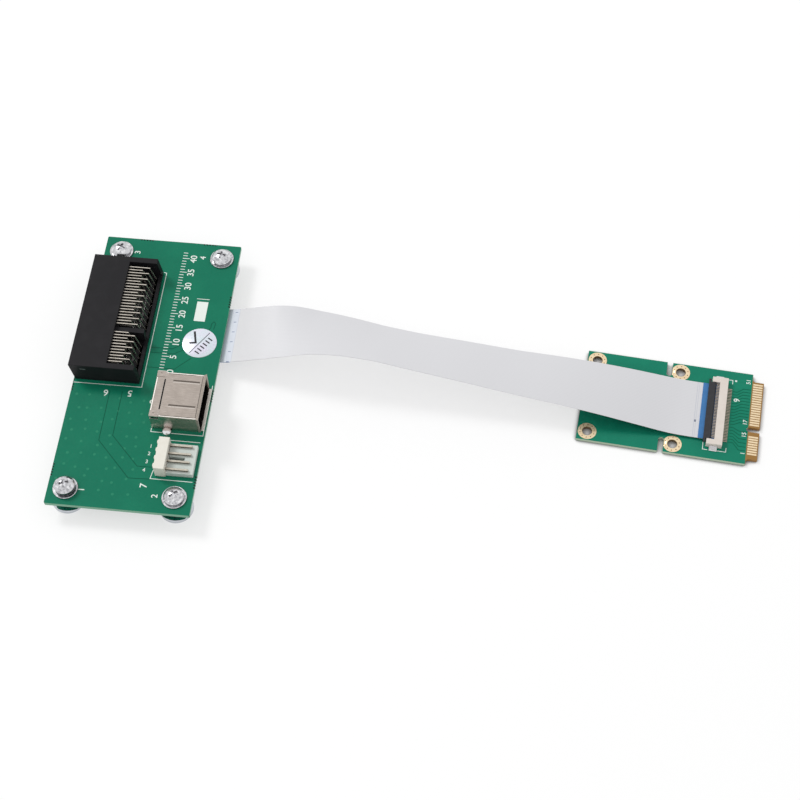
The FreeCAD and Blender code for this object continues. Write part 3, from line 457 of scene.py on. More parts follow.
# Vias stitch the board's near half in a loose field
filled_via = finish("filled_via", paint(34, 127, 97), 0.45, gloss=0.12)
grain(filled_via, 0.2 * mm, (0.4, 0.55), 0.002 * mm)
field = bpy.data.node_groups.new("via_field", "GeometryNodeTree")
for name, kind in (("Field", "Geometry"), ("Corner", "Vector"), ("Width", "Float"),
                   ("Length", "Float"), ("Across", "Int"), ("Along", "Int"), ("Drift", "Float"),
                   ("Seed", "Int"), ("Radius", "Float"), ("Finish", "Material")):
    field.interface.new_socket(name, in_out="INPUT", socket_type="NodeSocket" + kind)
field.interface.new_socket("Vias", in_out="OUTPUT", socket_type="NodeSocketGeometry")
add = field.nodes.new
start, end = add("NodeGroupInput"), add("NodeGroupOutput")
grid, move = add("GeometryNodeMeshGrid"), add("GeometryNodeSetPosition")
drift = add("FunctionNodeRandomValue")
drift.data_type = "FLOAT_VECTOR"
flat, back, shift = (add("ShaderNode" + kind) for kind in ("CombineXYZ", "VectorMath", "VectorMath"))
back.operation = "SCALE"
back.inputs["Scale"].default_value = -1.0
disc, place = add("GeometryNodeMeshCircle"), add("GeometryNodeInstanceOnPoints")
disc.fill_type = "NGON"
disc.inputs["Vertices"].default_value = 14
real, dye = add("GeometryNodeRealizeInstances"), add("GeometryNodeSetMaterial")
for a, b in (
    (start.outputs["Width"], grid.inputs["Size X"]),
    (start.outputs["Length"], grid.inputs["Size Y"]),
    (start.outputs["Across"], grid.inputs["Vertices X"]),
    (start.outputs["Along"], grid.inputs["Vertices Y"]),
    (start.outputs["Drift"], flat.inputs["X"]),
    (start.outputs["Drift"], flat.inputs["Y"]),
    (flat.outputs["Vector"], back.inputs[0]),
    (back.outputs["Vector"], drift.inputs["Min"]),
    (flat.outputs["Vector"], drift.inputs["Max"]),
    (start.outputs["Seed"], drift.inputs["Seed"]),
    (drift.outputs["Value"], shift.inputs[0]),
    (start.outputs["Corner"], shift.inputs[1]),
    (grid.outputs["Mesh"], move.inputs["Geometry"]),
    (shift.outputs["Vector"], move.inputs["Offset"]),
    (start.outputs["Radius"], disc.inputs["Radius"]),
    (move.outputs["Geometry"], place.inputs["Points"]),
    (disc.outputs["Mesh"], place.inputs["Instance"]),
    (place.outputs["Instances"], real.inputs["Geometry"]),
    (real.outputs["Geometry"], dye.inputs["Geometry"]),
    (start.outputs["Finish"], dye.inputs["Material"]),
    (dye.outputs["Geometry"], end.inputs["Vias"]),
):
    field.links.new(a, b)
middle = on_board((12.3, 20.0))[0]
holder = holder_for(bpy.data.meshes.new("via_field"))
set_inputs(holder, field, Corner=(*middle, board_top + mask_skin / 2), Width=19.4 * mm,
           Length=30.0 * mm, Across=6, Along=9, Drift=0.9 * mm, Seed=4, Radius=0.42 * mm,
           Finish=filled_via)
fit("filled_vias", made_mesh(holder), filled_via)

white_print = finish("white_print", paint(226, 234, 228), 0.55, gloss=0.3)
grain(white_print, 0.15 * mm, (0.48, 0.66), 0.003 * mm)
print_thick, print_line = 0.02 * mm, 0.2 * mm
print_z = board_top + print_thick
bm = bmesh.new()
for line in (
    [(0.3, 39.36), (19.98, 39.5), (19.98, 79.7), (19.3, 79.9)],
    [(25.25, 26.4), (25.25, 25.3), (40.14, 25.3), (40.14, 41.9)],
    [(31.2, 23.05), (39.7, 23.05)],
    [(28.2, 13.0), (27.8, 10.4), (39.6, 10.4)],
    [(30.7, 71.45), (34.2, 71.45)],
):
    stroke(bm, on_board(*line), print_line, print_z)
blank_field, field_wide = [(32.5, 65.25), (32.5, 68.85)], 3.3 * mm
stroke(bm, on_board(*blank_field), field_wide, print_z)
for text, u, v, height, turn in (
    ("1", 9.6, 5.1, 1.7, 90), ("2", 30.1, 5.1, 1.7, 90), ("3", 10.0, 86.5, 1.7, 90),
    ("4", 29.9, 86.3, 1.7, 90), ("5", 17.0, 37.2, 2.0, 180), ("6", 10.1, 36.8, 2.0, 180),
    ("7", 26.5, 8.0, 2.0, 90), ("8", 24.3, 35.0, 2.0, 90), ("1", 26.2, 20.6, 1.1, 0),
    ("2", 26.1, 18.2, 1.1, 0), ("3", 25.9, 15.6, 1.1, 0), ("4", 25.6, 12.9, 1.1, 0),
):
    figure(bm, text, on_board((u, v))[0], height * mm, turn, print_z)
# A millimetre scale runs along the board beside the slot
scale_u, scale_v, scale_long, scale_line = 23.9, 45.6, 43, 0.22 * mm
numbers_u, numbers_high = 27.2, 1.9 * mm
for step in range(scale_long):
    v = scale_v + step
    reach = 1.9 if step % 5 == 0 else 1.1
    stroke(bm, on_board((scale_u, v), (scale_u + reach, v)), scale_line, print_z)
    if step % 5 == 0:
        figure(bm, str(step), on_board((numbers_u, v))[0], numbers_high, 90, print_z)
fit("white_print", flat_mesh("white_print", bm), white_print)

# Mask closes over the rows of leads below
rows = {"upper": (15.65, 17.65), "lower": (11.65, 13.65)}
leads_before_key, leads_past_key = 11, 21
first_v, past_key_v = 43.52, 56.52
lead_v = [first_v + i for i in range(leads_before_key)]
lead_v += [past_key_v + i for i in range(leads_past_key)]
row_wide = 1.0 * mm
bm = bmesh.new()
for pair in rows.values():
    for k, u in enumerate(pair):
        for part in (range(leads_before_key), range(leads_before_key, len(lead_v))):
            ends = [lead_v[i] for i in part if i % 2 == k]
            line = on_board((u, ends[0]), (u, ends[-1]))
            stroke(bm, line, row_wide, board_under - mask_skin, down=True)
fit("mask_over_rows", flat_mesh("mask_over_rows", bm), board_mask)

bright_solder = finish("bright_solder", paint(222, 221, 222), 0.18, metal=1.0)
grain(bright_solder, 0.6 * mm, (0.12, 0.26), 0.004 * mm)
cone = turned([(0, 0), (0.82, 0), (0.78, -0.06), (0.55, -0.22), (0.4, -0.5), (0.32, -0.85),
               (0, -0.95)], 16)
usb_v, header_v = 33.82, 16.45
spots = [(pair[i % 2], v) for pair in rows.values() for i, v in enumerate(lead_v)]
sizes = [1.0] * len(spots)
for u, v, size in ([(27.34, usb_v + v, 1.3) for v in (-3.5, -1.0, 1.0, 3.5)]
                   + [(30.39, header_v + v, 1.25) for v in (-3.75, -1.25, 1.25, 3.75)]
                   + [(u, usb_v + v, 1.5) for v in (-7.2, 7.2) for u in (29.0, 29.84, 30.7)]):
    spots.append((u, v))
    sizes.append(size)
cones = set_on_spots(cone, [(x, y, board_under) for x, y in on_board(*spots)], bright_solder,
                     sizes=sizes)
fit("solder_cones", cones, bright_solder)


# Slot. A right-angle card slot moulded in black glass-filled nylon, with a plain front block, a
# keyed mouth to the left and an open bay behind. Two staggered rows of tinned contacts come out
# of the block, lean out and down over the bay's floor and go through the board.
def eased(node, width):
    """Copy of a solid's mesh with its edges rounded over, as moulding or folding leaves them."""
    bm = bmesh.new()
    bm.from_mesh(nodes[node].data)
    bmesh.ops.remove_doubles(bm, verts=bm.verts, dist=1e-6)
    bmesh.ops.dissolve_limit(bm, angle_limit=math.radians(1), verts=bm.verts, edges=bm.edges)
    sharp = [e for e in bm.edges if e.is_manifold and e.calc_face_angle() > math.radians(30)]
    bmesh.ops.bevel(bm, geom=sharp, offset=width, offset_type="OFFSET", segments=2, profile=0.5,
                    affect="EDGES", clamp_overlap=True)
    bmesh.ops.triangulate(bm, faces=bm.faces)
    mesh = flat_mesh(node, bm)
    for layer in [a for a in mesh.attributes if a.name == "custom_normal"]:
        mesh.attributes.remove(layer)
    mesh.polygons.foreach_set("use_smooth", [False] * len(mesh.polygons))
    return mesh


slot_nylon = finish("slot_nylon_black", paint(24, 23, 26), 0.45, gloss=0.13)
grain(slot_nylon, 0.12 * mm, (0.36, 0.54), 0.003 * mm)
mottle(slot_nylon, 3 * mm, 0.45, 0.7, 0.6, paint(31, 30, 33))
fit("slot_body", eased("slot_housing", 0.1 * mm), slot_nylon, ["slot_housing"])

tinned = finish("tinned_contacts", paint(186, 180, 170), 0.3, metal=0.9)
grain(tinned, 0.25 * mm, (0.24, 0.4), 0.0006 * mm, (0.3, 1, 1))
mottle(tinned, 0.8 * mm, 0.45, 0.7, 0.6, paint(152, 145, 134))
fit("upper_contacts", eased("slot_upper_contacts", 0.06 * mm), tinned,
    ["slot_upper_contacts"])
# Painted shade: the lower contacts are dark above the board and plain tin below it
shade_painted_tin = finish("shaded_contacts", paint(92, 88, 82), 0.5, metal=0.7)
grain(shade_painted_tin, 0.25 * mm, (0.42, 0.58), 0.0006 * mm, (0.3, 1, 1))
below_board = stepped(shade_painted_tin, coordinate(shade_painted_tin, "Object")[2], board_under, board_under - 0.1 * mm)
blend_in(shade_painted_tin, below_board, paint(186, 180, 170))
coat(shade_painted_tin, "slot_lower_contacts")

# A mould mark on the near end of the front block, glossy and painted lighter as a highlight
slot_low, slot_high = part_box("slot_housing")
mark_highlight_finish = finish("mould_mark", paint(92, 98, 98), 0.3, gloss=0.5)
grain(mark_highlight_finish, 0.2 * mm, (0.24, 0.38), 0.001 * mm)
mark_mid = Vector((slot_low.x + 3.9 * mm, slot_low.y + 0.1 * mm, slot_high.z - 1.85 * mm))
half_long, half_high = 0.9 * mm, 0.25 * mm
bm = bmesh.new()
bm.faces.new([bm.verts.new(mark_mid + Vector((x * half_long, 0, z * half_high)))
              for x, z in ((-1, -1), (1, -1), (1, 1), (-1, 1))])
fit("mould_mark", flat_mesh("mould_mark", bm), mark_highlight_finish)

# USB receptacle. A shell folded from nickel-plated steel strip, with two pressed grooves, a rear
# strip with dimpled corner tabs and a flared mouth to the right. A black insulator inside
# carries four gold-plated contacts, and a bright dome of solder holds each leg.
shell_steel = finish("shell_steel", paint(170, 160, 152), 0.22, metal=1.0)
grain(shell_steel, 0.22 * mm, (0.17, 0.3), 0.0012 * mm, (0.12, 1, 1))
mottle(shell_steel, 2.5 * mm, 0.4, 0.7, 0.5, paint(156, 146, 138))
# Painted highlights on the folds and on the sill at the mouth; on each groove, painted shade on the side
# that faces near and a painted highlight on the other. The lip is darker, and the lip and the sill are
# rougher
tilt = coordinate(shell_steel, "Normal")
along, across, upward = coordinate(shell_steel, "Object")
mouth_u, rear_u = 39.38, 25.6
(mouth, usb_y), (rear, _) = on_board((mouth_u, usb_v), (rear_u, usb_v))
shell_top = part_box("usb_shell")[1].z - 0.25 * mm
sill = stepped(shell_steel, along, mouth, mouth + 0.02 * mm)
lip = stepped(shell_steel, tilt[0], -0.2, -0.3)
# Painted shade: the inside of the shell is dark, as little light reaches it
off_middle = worked(shell_steel, "ABSOLUTE", worked(shell_steel, "SUBTRACT", across, usb_y), 0)
inside = stepped(shell_steel, upward, shell_top - 0.15 * mm, shell_top - 0.2 * mm)
for place, low, high in ((off_middle, 7.2 * mm, 7.15 * mm), (along, rear, rear + 0.05 * mm),
                         (along, mouth, mouth - 0.02 * mm)):
    inside = worked(shell_steel, "MULTIPLY", inside, stepped(shell_steel, place, low, high))
# Painted highlight on the sill
blend_in(shell_steel, worked(shell_steel, "MULTIPLY", sill, 0.9), paint(236, 230, 222))
dullness = shell_steel.node_tree.nodes["Principled BSDF"].inputs["Roughness"]
rolled = dullness.links[0].from_socket
for share, where in ((0.1, on_walls(shell_steel)), (0.35, sill), (0.3, lip)):
    rolled = worked(shell_steel, "ADD", rolled, worked(shell_steel, "MULTIPLY", where, share))
shell_steel.node_tree.links.new(rolled, dullness)
steep = [worked(shell_steel, "ABSOLUTE", axis, 0) for axis in tilt]
squarest = worked(shell_steel, "MAXIMUM", worked(shell_steel, "MAXIMUM", *steep[:2]), steep[2])
# Painted highlights on the rounded folds and the groove slopes
blend_in(shell_steel, stepped(shell_steel, squarest, 0.936, 0.926, 0.9), paint(222, 216, 209))
level = stepped(shell_steel, tilt[2], 0.9, 0.93)
blend_in(shell_steel, worked(shell_steel, "MULTIPLY", lip, level), paint(118, 111, 104))
# Painted shade on the near-facing slope of each groove, a painted highlight on the far-facing one
for low, high, colour in ((-0.12, -0.25, paint(92, 84, 78)), (0.12, 0.25, paint(208, 200, 192))):
    side = stepped(shell_steel, tilt[1], low, high, 0.9)
    blend_in(shell_steel, worked(shell_steel, "MULTIPLY", side, level), colour)
# Painted light: the near wall is brighter than the top
blend_in(shell_steel, stepped(shell_steel, tilt[1], -0.93, -0.97, 0.9), paint(211, 197, 188))
# Painted shade inside the shell
blend_in(shell_steel, inside, paint(70, 66, 62))
fit("usb_shell_folded", eased("usb_shell", 0.15 * mm), shell_steel, ["usb_shell"])

# Seams of the folded sheet, along the mouth and the two long edges, and painted highlights on the edges
# beside them
seam_shade = finish("shell_seam", paint(76, 70, 65), 0.4, metal=0.9)
edge_highlight_steel = finish("painted_edge_highlight", paint(236, 231, 225), 0.3, metal=0.9)
seam_wide, seam_z = 0.17 * mm, shell_top + 0.01 * mm
for name, mat, lines in (
    ("shell_seams", seam_shade, ([(38.42, usb_v - 6.8), (38.42, usb_v + 6.8)],
                                 [(28.6, usb_v - 6.93), (38.2, usb_v - 6.93)],
                                 [(28.6, usb_v + 6.93), (36.2, usb_v + 6.93)])),
    # Painted highlights beside the seams
    ("worn_edges", edge_highlight_steel, ([(28.2, usb_v - 7.13), (38.4, usb_v - 7.13)],
                                [(28.2, usb_v + 7.13), (38.4, usb_v + 7.13)],
                                [(25.58, usb_v - 5.4), (25.58, usb_v + 5.4)])),
):
    grain(mat, 0.2 * mm, (0.28, 0.46), 0.001 * mm)
    bm = bmesh.new()
    for line in lines:
        stroke(bm, on_board(*line), seam_wide, seam_z)
    fit(name, flat_mesh(name, bm), mat)

usb_black = finish("usb_insulator_black", paint(30, 30, 32), 0.5, gloss=0.3)
grain(usb_black, 0.15 * mm, (0.42, 0.6), 0.003 * mm)
coat(usb_black, "usb_insulator")

gold = finish("gold_plate", paint(226, 186, 116), 0.3, metal=0.85)
grain(gold, 0.3 * mm, (0.24, 0.42), 0.003 * mm)
mottle(gold, 1.1 * mm, 0.42, 0.7, 0.6, paint(206, 160, 92))
coat(gold, "usb_contacts")

leg_u, shell_half, dome_out = 29.84, 7.35, 0.95
bm = bmesh.new()
bm.from_mesh(turned([(0, -0.02), (1.32, -0.02), (1.38, 0.22), (1.35, 0.55), (1.18, 0.9), (0.82, 1.17),
                     (0.4, 1.31), (0, 1.34)], 40))
bmesh.ops.bisect_plane(bm, geom=bm.verts[:] + bm.edges[:] + bm.faces[:], clear_outer=True,
                       plane_co=(0, dome_out * mm, 0), plane_no=(0, 1, 0))
bmesh.ops.holes_fill(bm, edges=[e for e in bm.edges if e.is_boundary])
dome_spots = on_board(*[(leg_u, usb_v + side * (shell_half + dome_out)) for side in (-1, 1)])
domes = set_on_spots(flat_mesh("dome", bm), [(x, y, board_top) for x, y in dome_spots],
                     bright_solder, turns=[0.0, math.pi])
fit("leg_solder", domes, bright_solder, ["usb_solder_domes"])

# Power header. A right-angle four-way header in white nylon: a tall back wall with a rounded bump
# behind each way, a thin low tray in front that lets the green through, a key slot in the tray
# and four square tinned pins along it.
header_nylon = finish("header_nylon_white", paint(226, 223, 212), 0.48, gloss=0.4)
grain(header_nylon, 0.2 * mm, (0.4, 0.56), 0.003 * mm)
mottle(header_nylon, 1.5 * mm, 0.4, 0.7, 0.5, paint(219, 214, 202))
tray_from = on_board((32.0, 0))[0][0]
past_wall = coordinate(header_nylon, "Object")[0]
blend_in(header_nylon, stepped(header_nylon, past_wall, tray_from, tray_from + 0.3 * mm),
         paint(200, 207, 201))
fit("header_body", eased("power_header_body", 0.12 * mm), header_nylon,
    ["power_header_body"])
# Painted shade: a dark sheet lies on the board at the bottom of the key slot
key_slot, key_slot_wide = [(32.7, header_v), (36.2, header_v)], 0.95 * mm
bm = bmesh.new()
stroke(bm, on_board(*key_slot), key_slot_wide, board_top + 0.03 * mm)
slot_shade = finish("key_slot_shade", paint(34, 44, 40), 0.7, gloss=0.2)
grain(slot_shade, 0.2 * mm, (0.6, 0.8), 0.002 * mm)
fit("key_slot_floor", flat_mesh("key_slot_floor", bm), slot_shade)
pin_tin = finish("header_pin_tin", paint(178, 172, 160), 0.3, metal=0.9)
grain(pin_tin, 0.25 * mm, (0.24, 0.4), 0.0006 * mm, (0.3, 1, 1))
mottle(pin_tin, 0.8 * mm, 0.45, 0.7, 0.6, paint(152, 145, 132))
# Painted shade on the sides of the pins
shade_walls(pin_tin, 0.8, paint(96, 84, 68))
coat(pin_tin, "power_header_pins")

# Ribbon connector under the main board. A flip-latch connector hangs from the underside at the
# right edge: ivory housing, black latch on two trunnions, 36 contacts and two solder tabs.
ivory = finish("connector_ivory", paint(219, 210, 202), 0.5, gloss=0.35)
grain(ivory, 0.15 * mm, (0.42, 0.58), 0.003 * mm)
mottle(ivory, 1.2 * mm, 0.4, 0.7, 0.5, paint(211, 200, 190))
latch_black = finish("latch_black", paint(40, 40, 44), 0.42, gloss=0.35)
grain(latch_black, 0.12 * mm, (0.34, 0.5), 0.003 * mm)
mottle(latch_black, 0.9 * mm, 0.45, 0.7, 0.5, paint(52, 52, 57))
spring_bronze = finish("spring_contacts", paint(172, 160, 146), 0.35, metal=0.8)
grain(spring_bronze, 0.2 * mm, (0.28, 0.46), 0.003 * mm)
mottle(spring_bronze, 0.6 * mm, 0.4, 0.7, 0.7, paint(142, 130, 116))
moulded_edge = 0.05 * mm
fit("board_connector_housing", eased("board_ffc_housing", moulded_edge), ivory,
    ["board_ffc_housing"])
fit("board_connector_latch", eased("board_ffc_latch", moulded_edge), latch_black,
    ["board_ffc_latch"], "board_latch")
coat(spring_bronze, "board_ffc_contacts")
coat(bright_solder, "board_ffc_solder_tabs")

# Inspection label. A round sticker of pearly film with a plain tick, a line and a row of short
# strokes printed on it in black, stuck to the board beside the scale.
pearl = finish("pearl_film", paint(213, 224, 231), 0.26, metal=0.15)
grain(pearl, 0.7 * mm, (0.2, 0.34), 0.002 * mm)
mottle(pearl, 4 * mm, 0.42, 0.6, 0.8, paint(224, 218, 236))
mottle(pearl, 5.5 * mm, 0.5, 0.66, 0.7, paint(212, 232, 226), (1, 0.6, 1))
label_low, label_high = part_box("round_label")
label_mid = (label_low + label_high) / 2
disc = turned([(0, 0), (5.0, 0), (5.0, 0.08), (4.97, 0.1), (0, 0.1)], 96)
disc.transform(Matrix.Translation((label_mid.x, label_mid.y, board_top)))
fit("round_sticker", disc, pearl, ["round_label"])
label_ink = finish("label_ink", paint(30, 30, 34), 0.5, gloss=0.3)
grain(label_ink, 0.15 * mm, (0.42, 0.6), 0.002 * mm)
ink_z, label_turn = 0.11 * mm, math.radians(57)
bm = bmesh.new()
marks = [([(-4.3, 0), (4.3, 0)], 0.22), ([(-1.7, 2.1), (-0.6, 0.95), (1.9, 3.6)], 0.6)]
marks += [([(u, -1.0), (u, -2.2)], 0.4) for u in (-2.9, -1.75, -0.6, 0.55, 1.7, 2.85)]
for line, width in marks:
    stroke(bm, [(u * mm, v * mm) for u, v in line], width * mm, ink_z)
ink = flat_mesh("label_ink", bm)
ink.transform(Matrix.Translation((label_mid.x, label_mid.y, board_top))
              @ Matrix.Rotation(label_turn, 4, "Z"))
fit("sticker_print", ink, label_ink)

# Ribbon. A flat cable of 36 flat conductors laid between two white films, half a millimetre
# apart, 152 mm long. It leaves the connector under the board, arches over to the right with
# its far edge lower, and runs flat into the card's connector. A blue stiffener backs each end.
ribbon_width, ribbon_thick, ribbon_length = 18.5 * mm, 0.15 * mm, 152.0 * mm
conductors, conductor_pitch = 36, 0.5 * mm
course_points = [
    # x, y, z, and the bank in degrees, negative where the far edge is lower
    (-62.695, 14.70, 4.325, 0.0),
    (-57.3, 14.66, 4.4, 0.0),
    (-50.8, 14.65, 6.5, 0.6),
    (-43.5, 14.62, 8.9, 0.0),
    (-38.0, 14.55, 10.1, -4.0),
    (-31.2, 14.35, 10.9, -13.5),
    (-22.3, 13.90, 10.95, -19.4),
    (-12.0, 13.05, 9.9, -23.3),
    (-1.3, 12.00, 8.7, -22.0),
    (12.7, 10.65, 7.9, -18.8),
    (26.7, 9.35, 6.6, -15.2),
    (40.3, 8.10, 6.2, -10.5),
    (52.0, 7.10, 5.1, -6.5),
    (62.0, 6.28, 3.7, -3.0),
    (72.4, 5.42, 2.0, 0.0),
    (78.5, 4.93, 1.725, 0.0),
    (86.27, 4.35, 1.725, 0.0),
]
course = bpy.data.curves.new("ribbon_course", "CURVE")
course.dimensions = "3D"
course.resolution_u = 14
spline = course.splines.new("NURBS")
spline.points.add(len(course_points) - 1)
for point, (x, y, z, _) in zip(spline.points, course_points):
    point.co = (x * mm, y * mm, z * mm, 1.0)
spline.order_u = 3
spline.use_endpoint_u = True
line = made_mesh(holder_for(course))
path = [v.co.copy() for v in line.vertices]
run = [0.0]
for a, b in zip(path, path[1:]):
    run.append(run[-1] + (b - a).length)


def bank_at(x):
    """Bank of the ribbon over a point of its course, eased between the course's own points."""
    for (x0, _, _, b0), (x1, _, _, b1) in zip(course_points, course_points[1:]):
        if x <= x1 * mm or x1 == course_points[-1][0]:
            t = min(max((x - x0 * mm) / ((x1 - x0) * mm), 0), 1)
            return math.radians(b0 + (b1 - b0) * t)


banks = [bank_at(p.x) for p in path]
easing_rounds = 12
for _ in range(easing_rounds):
    eased_banks = [(a + 2 * b + c) / 4 for a, b, c in zip(banks, banks[1:], banks[2:])]
    banks = banks[:1] + eased_banks + banks[-1:]
frames = []
for i, p in enumerate(path):
    along = (path[min(i + 1, len(path) - 1)] - path[max(i - 1, 0)]).normalized()
    side = Matrix.Rotation(banks[i], 3, along) @ Vector((-along.y, along.x, 0)).normalized()
    frames.append((p, side, along.cross(side)))


def band(name, first, last, low, high, columns=24):
    """Flat strip along the ribbon's course, with the place across and along as its UV map."""
    picked = [i for i, s in enumerate(run) if first - 1e-9 <= s <= last + 1e-9]
    bm = bmesh.new()
    chart = bm.loops.layers.uv.new("film")
    rings = []
    for i in picked:
        p, side, up = frames[i]
        across = [k / columns for k in range(columns + 1)]
        top = [(u, p + side * (u - 0.5) * ribbon_width + up * high) for u in across]
        under = [(u, p + side * (u - 0.5) * ribbon_width + up * low) for u in reversed(across)]
        rings.append([(bm.verts.new(q), u, run[i] / run[-1]) for u, q in top + under])

    def face(corners):
        """One face of the strip with its place on the film."""
        made = bm.faces.new([v for v, _, _ in corners])
        made.smooth = True
        for loop, (_, u, s) in zip(made.loops, corners):
            loop[chart].uv = (u, s)

    count = len(rings[0])
    for a, b in zip(rings, rings[1:]):
        for k in range(count):
            j = (k + 1) % count
            face([a[k], b[k], b[j], a[j]])
    face(rings[0])
    face(rings[-1][::-1])
    bmesh.ops.recalc_face_normals(bm, faces=bm.faces)
    mesh = flat_mesh(name, bm)
    mesh.set_sharp_from_angle(angle=math.radians(40))
    return mesh


film = finish("ribbon_film", paint(212, 212, 215), 0.38, gloss=0.4)
grain(film, 0.6 * mm, (0.32, 0.46), 0.002 * mm)
tree = film.node_tree
chart, parts = tree.nodes.new("ShaderNodeUVMap"), tree.nodes.new("ShaderNodeSeparateXYZ")
chart.uv_map = "film"
tree.links.new(chart.outputs["UV"], parts.inputs["Vector"])

ways_across = worked(film, "MULTIPLY", parts.outputs["X"], ribbon_width / conductor_pitch)
beat = worked(film, "PINGPONG", worked(film, "ADD", ways_across, 0.5), 0.5)
in_field = worked(film, "MULTIPLY", worked(film, "GREATER_THAN", ways_across, 0.5),
                  worked(film, "LESS_THAN", ways_across, conductors + 0.5))
blend_in(film, worked(film, "MULTIPLY", stepped(film, beat, 0.2, 0.34, 0.32), in_field),
         paint(200, 200, 204))
reach = worked(film, "MULTIPLY", parts.outputs["Y"], ribbon_length / mm)
# Painted shade: the film is greyer where it comes out from under the board
blend_in(film, stepped(film, reach, 24, 10, 0.8), paint(198, 198, 200))


def close_to(value, spot):
    """Distance of a place on the film from a spot."""
    return worked(film, "ABSOLUTE", worked(film, "SUBTRACT", value, spot), 0)


# The board end shows its stiffener through the film, with a row of small printed dashes
board_tint_end, card_tint_start = 8.3, 144.9
dash_place, tick_place, tick_way = 7.3, 145.2, 10.9
blend_in(film, stepped(film, reach, board_tint_end, board_tint_end - 0.1, 0.6), paint(192, 201, 217))
dash_beat = worked(film, "FRACT", worked(film, "MULTIPLY", ways_across, 0.145), 0)
dashes = worked(film, "MULTIPLY", stepped(film, close_to(reach, dash_place), 0.45, 0.4),
                worked(film, "LESS_THAN", dash_beat, 0.07))
blend_in(film, dashes, paint(84, 104, 140))
tick = worked(film, "MULTIPLY", stepped(film, close_to(reach, tick_place), 0.3, 0.25),
              stepped(film, close_to(ways_across, tick_way), 0.8, 0.75))
blend_in(film, tick, paint(120, 126, 140))
for spot, strength in ((board_tint_end, 0.4), (card_tint_start, 0.4), (card_tint_start + 0.5, 0.3)):
    blend_in(film, stepped(film, close_to(reach, spot), 0.09, 0.05, strength), paint(140, 152, 176))
half_thick = ribbon_thick / 2
ribbon = fit("ribbon", band("ribbon", 0, run[-1], -half_thick, half_thick), film,
             ["ribbon_cable"])

stiffener_blue = finish("stiffener_blue", paint(58, 118, 176), 0.35, gloss=0.4)
grain(stiffener_blue, 0.4 * mm, (0.28, 0.44), 0.002 * mm)
mottle(stiffener_blue, 1.5 * mm, 0.4, 0.7, 0.5, paint(48, 106, 164))
stiffener_outer = half_thick + 0.15 * mm
board_end_long, card_end_long = 8.2 * mm, 5.7 * mm
board_backing = band("board_end_stiffener", 0, board_end_long, -stiffener_outer, -half_thick, 2)
board_stiffener = fit("board_end_stiffener", board_backing, stiffener_blue,
                      ["ribbon_stiffener_board"])
card_backing = band("card_end_stiffener", run[-1] - card_end_long, run[-1],
                    half_thick, stiffener_outer, 2)
card_stiffener = fit("card_end_stiffener", card_backing, stiffener_blue,
                     ["ribbon_stiffener_card"])

# Mini card. A small green laminate card with four plated screw holes, two break slots that let it
# be snapped to half length, and a bare tongue with gold fingers and a key notch. Gold rings
# with a circle of small vias stand round the holes on both faces.
card_turn = math.radians(-4.374)
card_frame = Matrix.Translation((45.94 * mm, -7.61 * mm, 0)) @ Matrix.Rotation(card_turn, 4, "Z")


def on_card(*points):
    """Points in millimetres on the card: along it from the screw end, across from its near edge."""
    return [tuple((card_frame @ Vector((u * mm, v * mm, 0)))[:2]) for u, v in points]


card_mask = laminate("card_mask_green", paint(20, 122, 97), paint(26, 131, 103), paint(15, 113, 89),
                     paint(176, 190, 168))
tree = card_mask.node_tree
coords, place, parts = (tree.nodes.new(kind) for kind in (
    "ShaderNodeTexCoord", "ShaderNodeMapping", "ShaderNodeSeparateXYZ"))
inverse = card_frame.inverted()
place.inputs["Location"].default_value = inverse.to_translation()
place.inputs["Rotation"].default_value = (0, 0, -card_turn)
tree.links.new(coords.outputs["Object"], place.inputs["Vector"])
tree.links.new(place.outputs["Vector"], parts.inputs["Vector"])
tongue_from, tongue_bare = 47.62 * mm, 47.7 * mm
blend_in(card_mask, stepped(card_mask, parts.outputs["X"], tongue_from, tongue_bare), paint(152, 114, 64))
coat(card_mask, "mini_card")
pale_gold = finish("pale_gold_plate", paint(236, 215, 180), 0.3, metal=0.85)
grain(pale_gold, 0.3 * mm, (0.24, 0.42), 0.001 * mm)
mottle(pale_gold, 1.1 * mm, 0.42, 0.7, 0.6, paint(222, 194, 150))
# Painted shade on the walls of the holes and the sides of the fingers
shade_walls(pale_gold, 0.85, paint(126, 98, 62))
coat(pale_gold, "card_fingers_top", "card_fingers_bottom")
card_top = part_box("mini_card")[1].z

pad_radius, bore_radius, wall_radius, pad_thick, card_thick = 2.65, 1.43, 1.449, 0.05, 1.0
upper_pad = card_thick + pad_thick
ring = turned([(pad_radius, upper_pad), (pad_radius, upper_pad + pad_thick),
               (bore_radius, upper_pad + pad_thick), (bore_radius, 0), (pad_radius, 0),
               (pad_radius, pad_thick), (wall_radius, pad_thick), (wall_radius, upper_pad)], 56)
end_hole_u, half_hole_u, hole_v = 2.9, 27.05, (2.9, 27.1)
end_holes = [(end_hole_u, v) for v in hole_v]
half_holes = [(half_hole_u, v) for v in hole_v]
trim_at = 2.43 * mm
bm = bmesh.new()
bm.from_mesh(ring)
bmesh.ops.bisect_plane(bm, geom=bm.verts[:] + bm.edges[:] + bm.faces[:], clear_outer=True,
                       plane_co=(-trim_at, 0, 0), plane_no=(-1, 0, 0))
bmesh.ops.holes_fill(bm, edges=[e for e in bm.edges if e.is_boundary])
trimmed_ring = flat_mesh("trimmed_ring", bm)
for name, mesh, spots, stands_for in (("end_hole_rings", ring, end_holes, ["card_hole_pads"]),
                                      ("half_hole_rings", trimmed_ring, half_holes, [])):
    rings = set_on_spots(mesh, [(x, y, 0) for x, y in on_card(*spots)], pale_gold,
                         turns=[card_turn] * len(spots))
    fit(name, rings, pale_gold, stands_for)

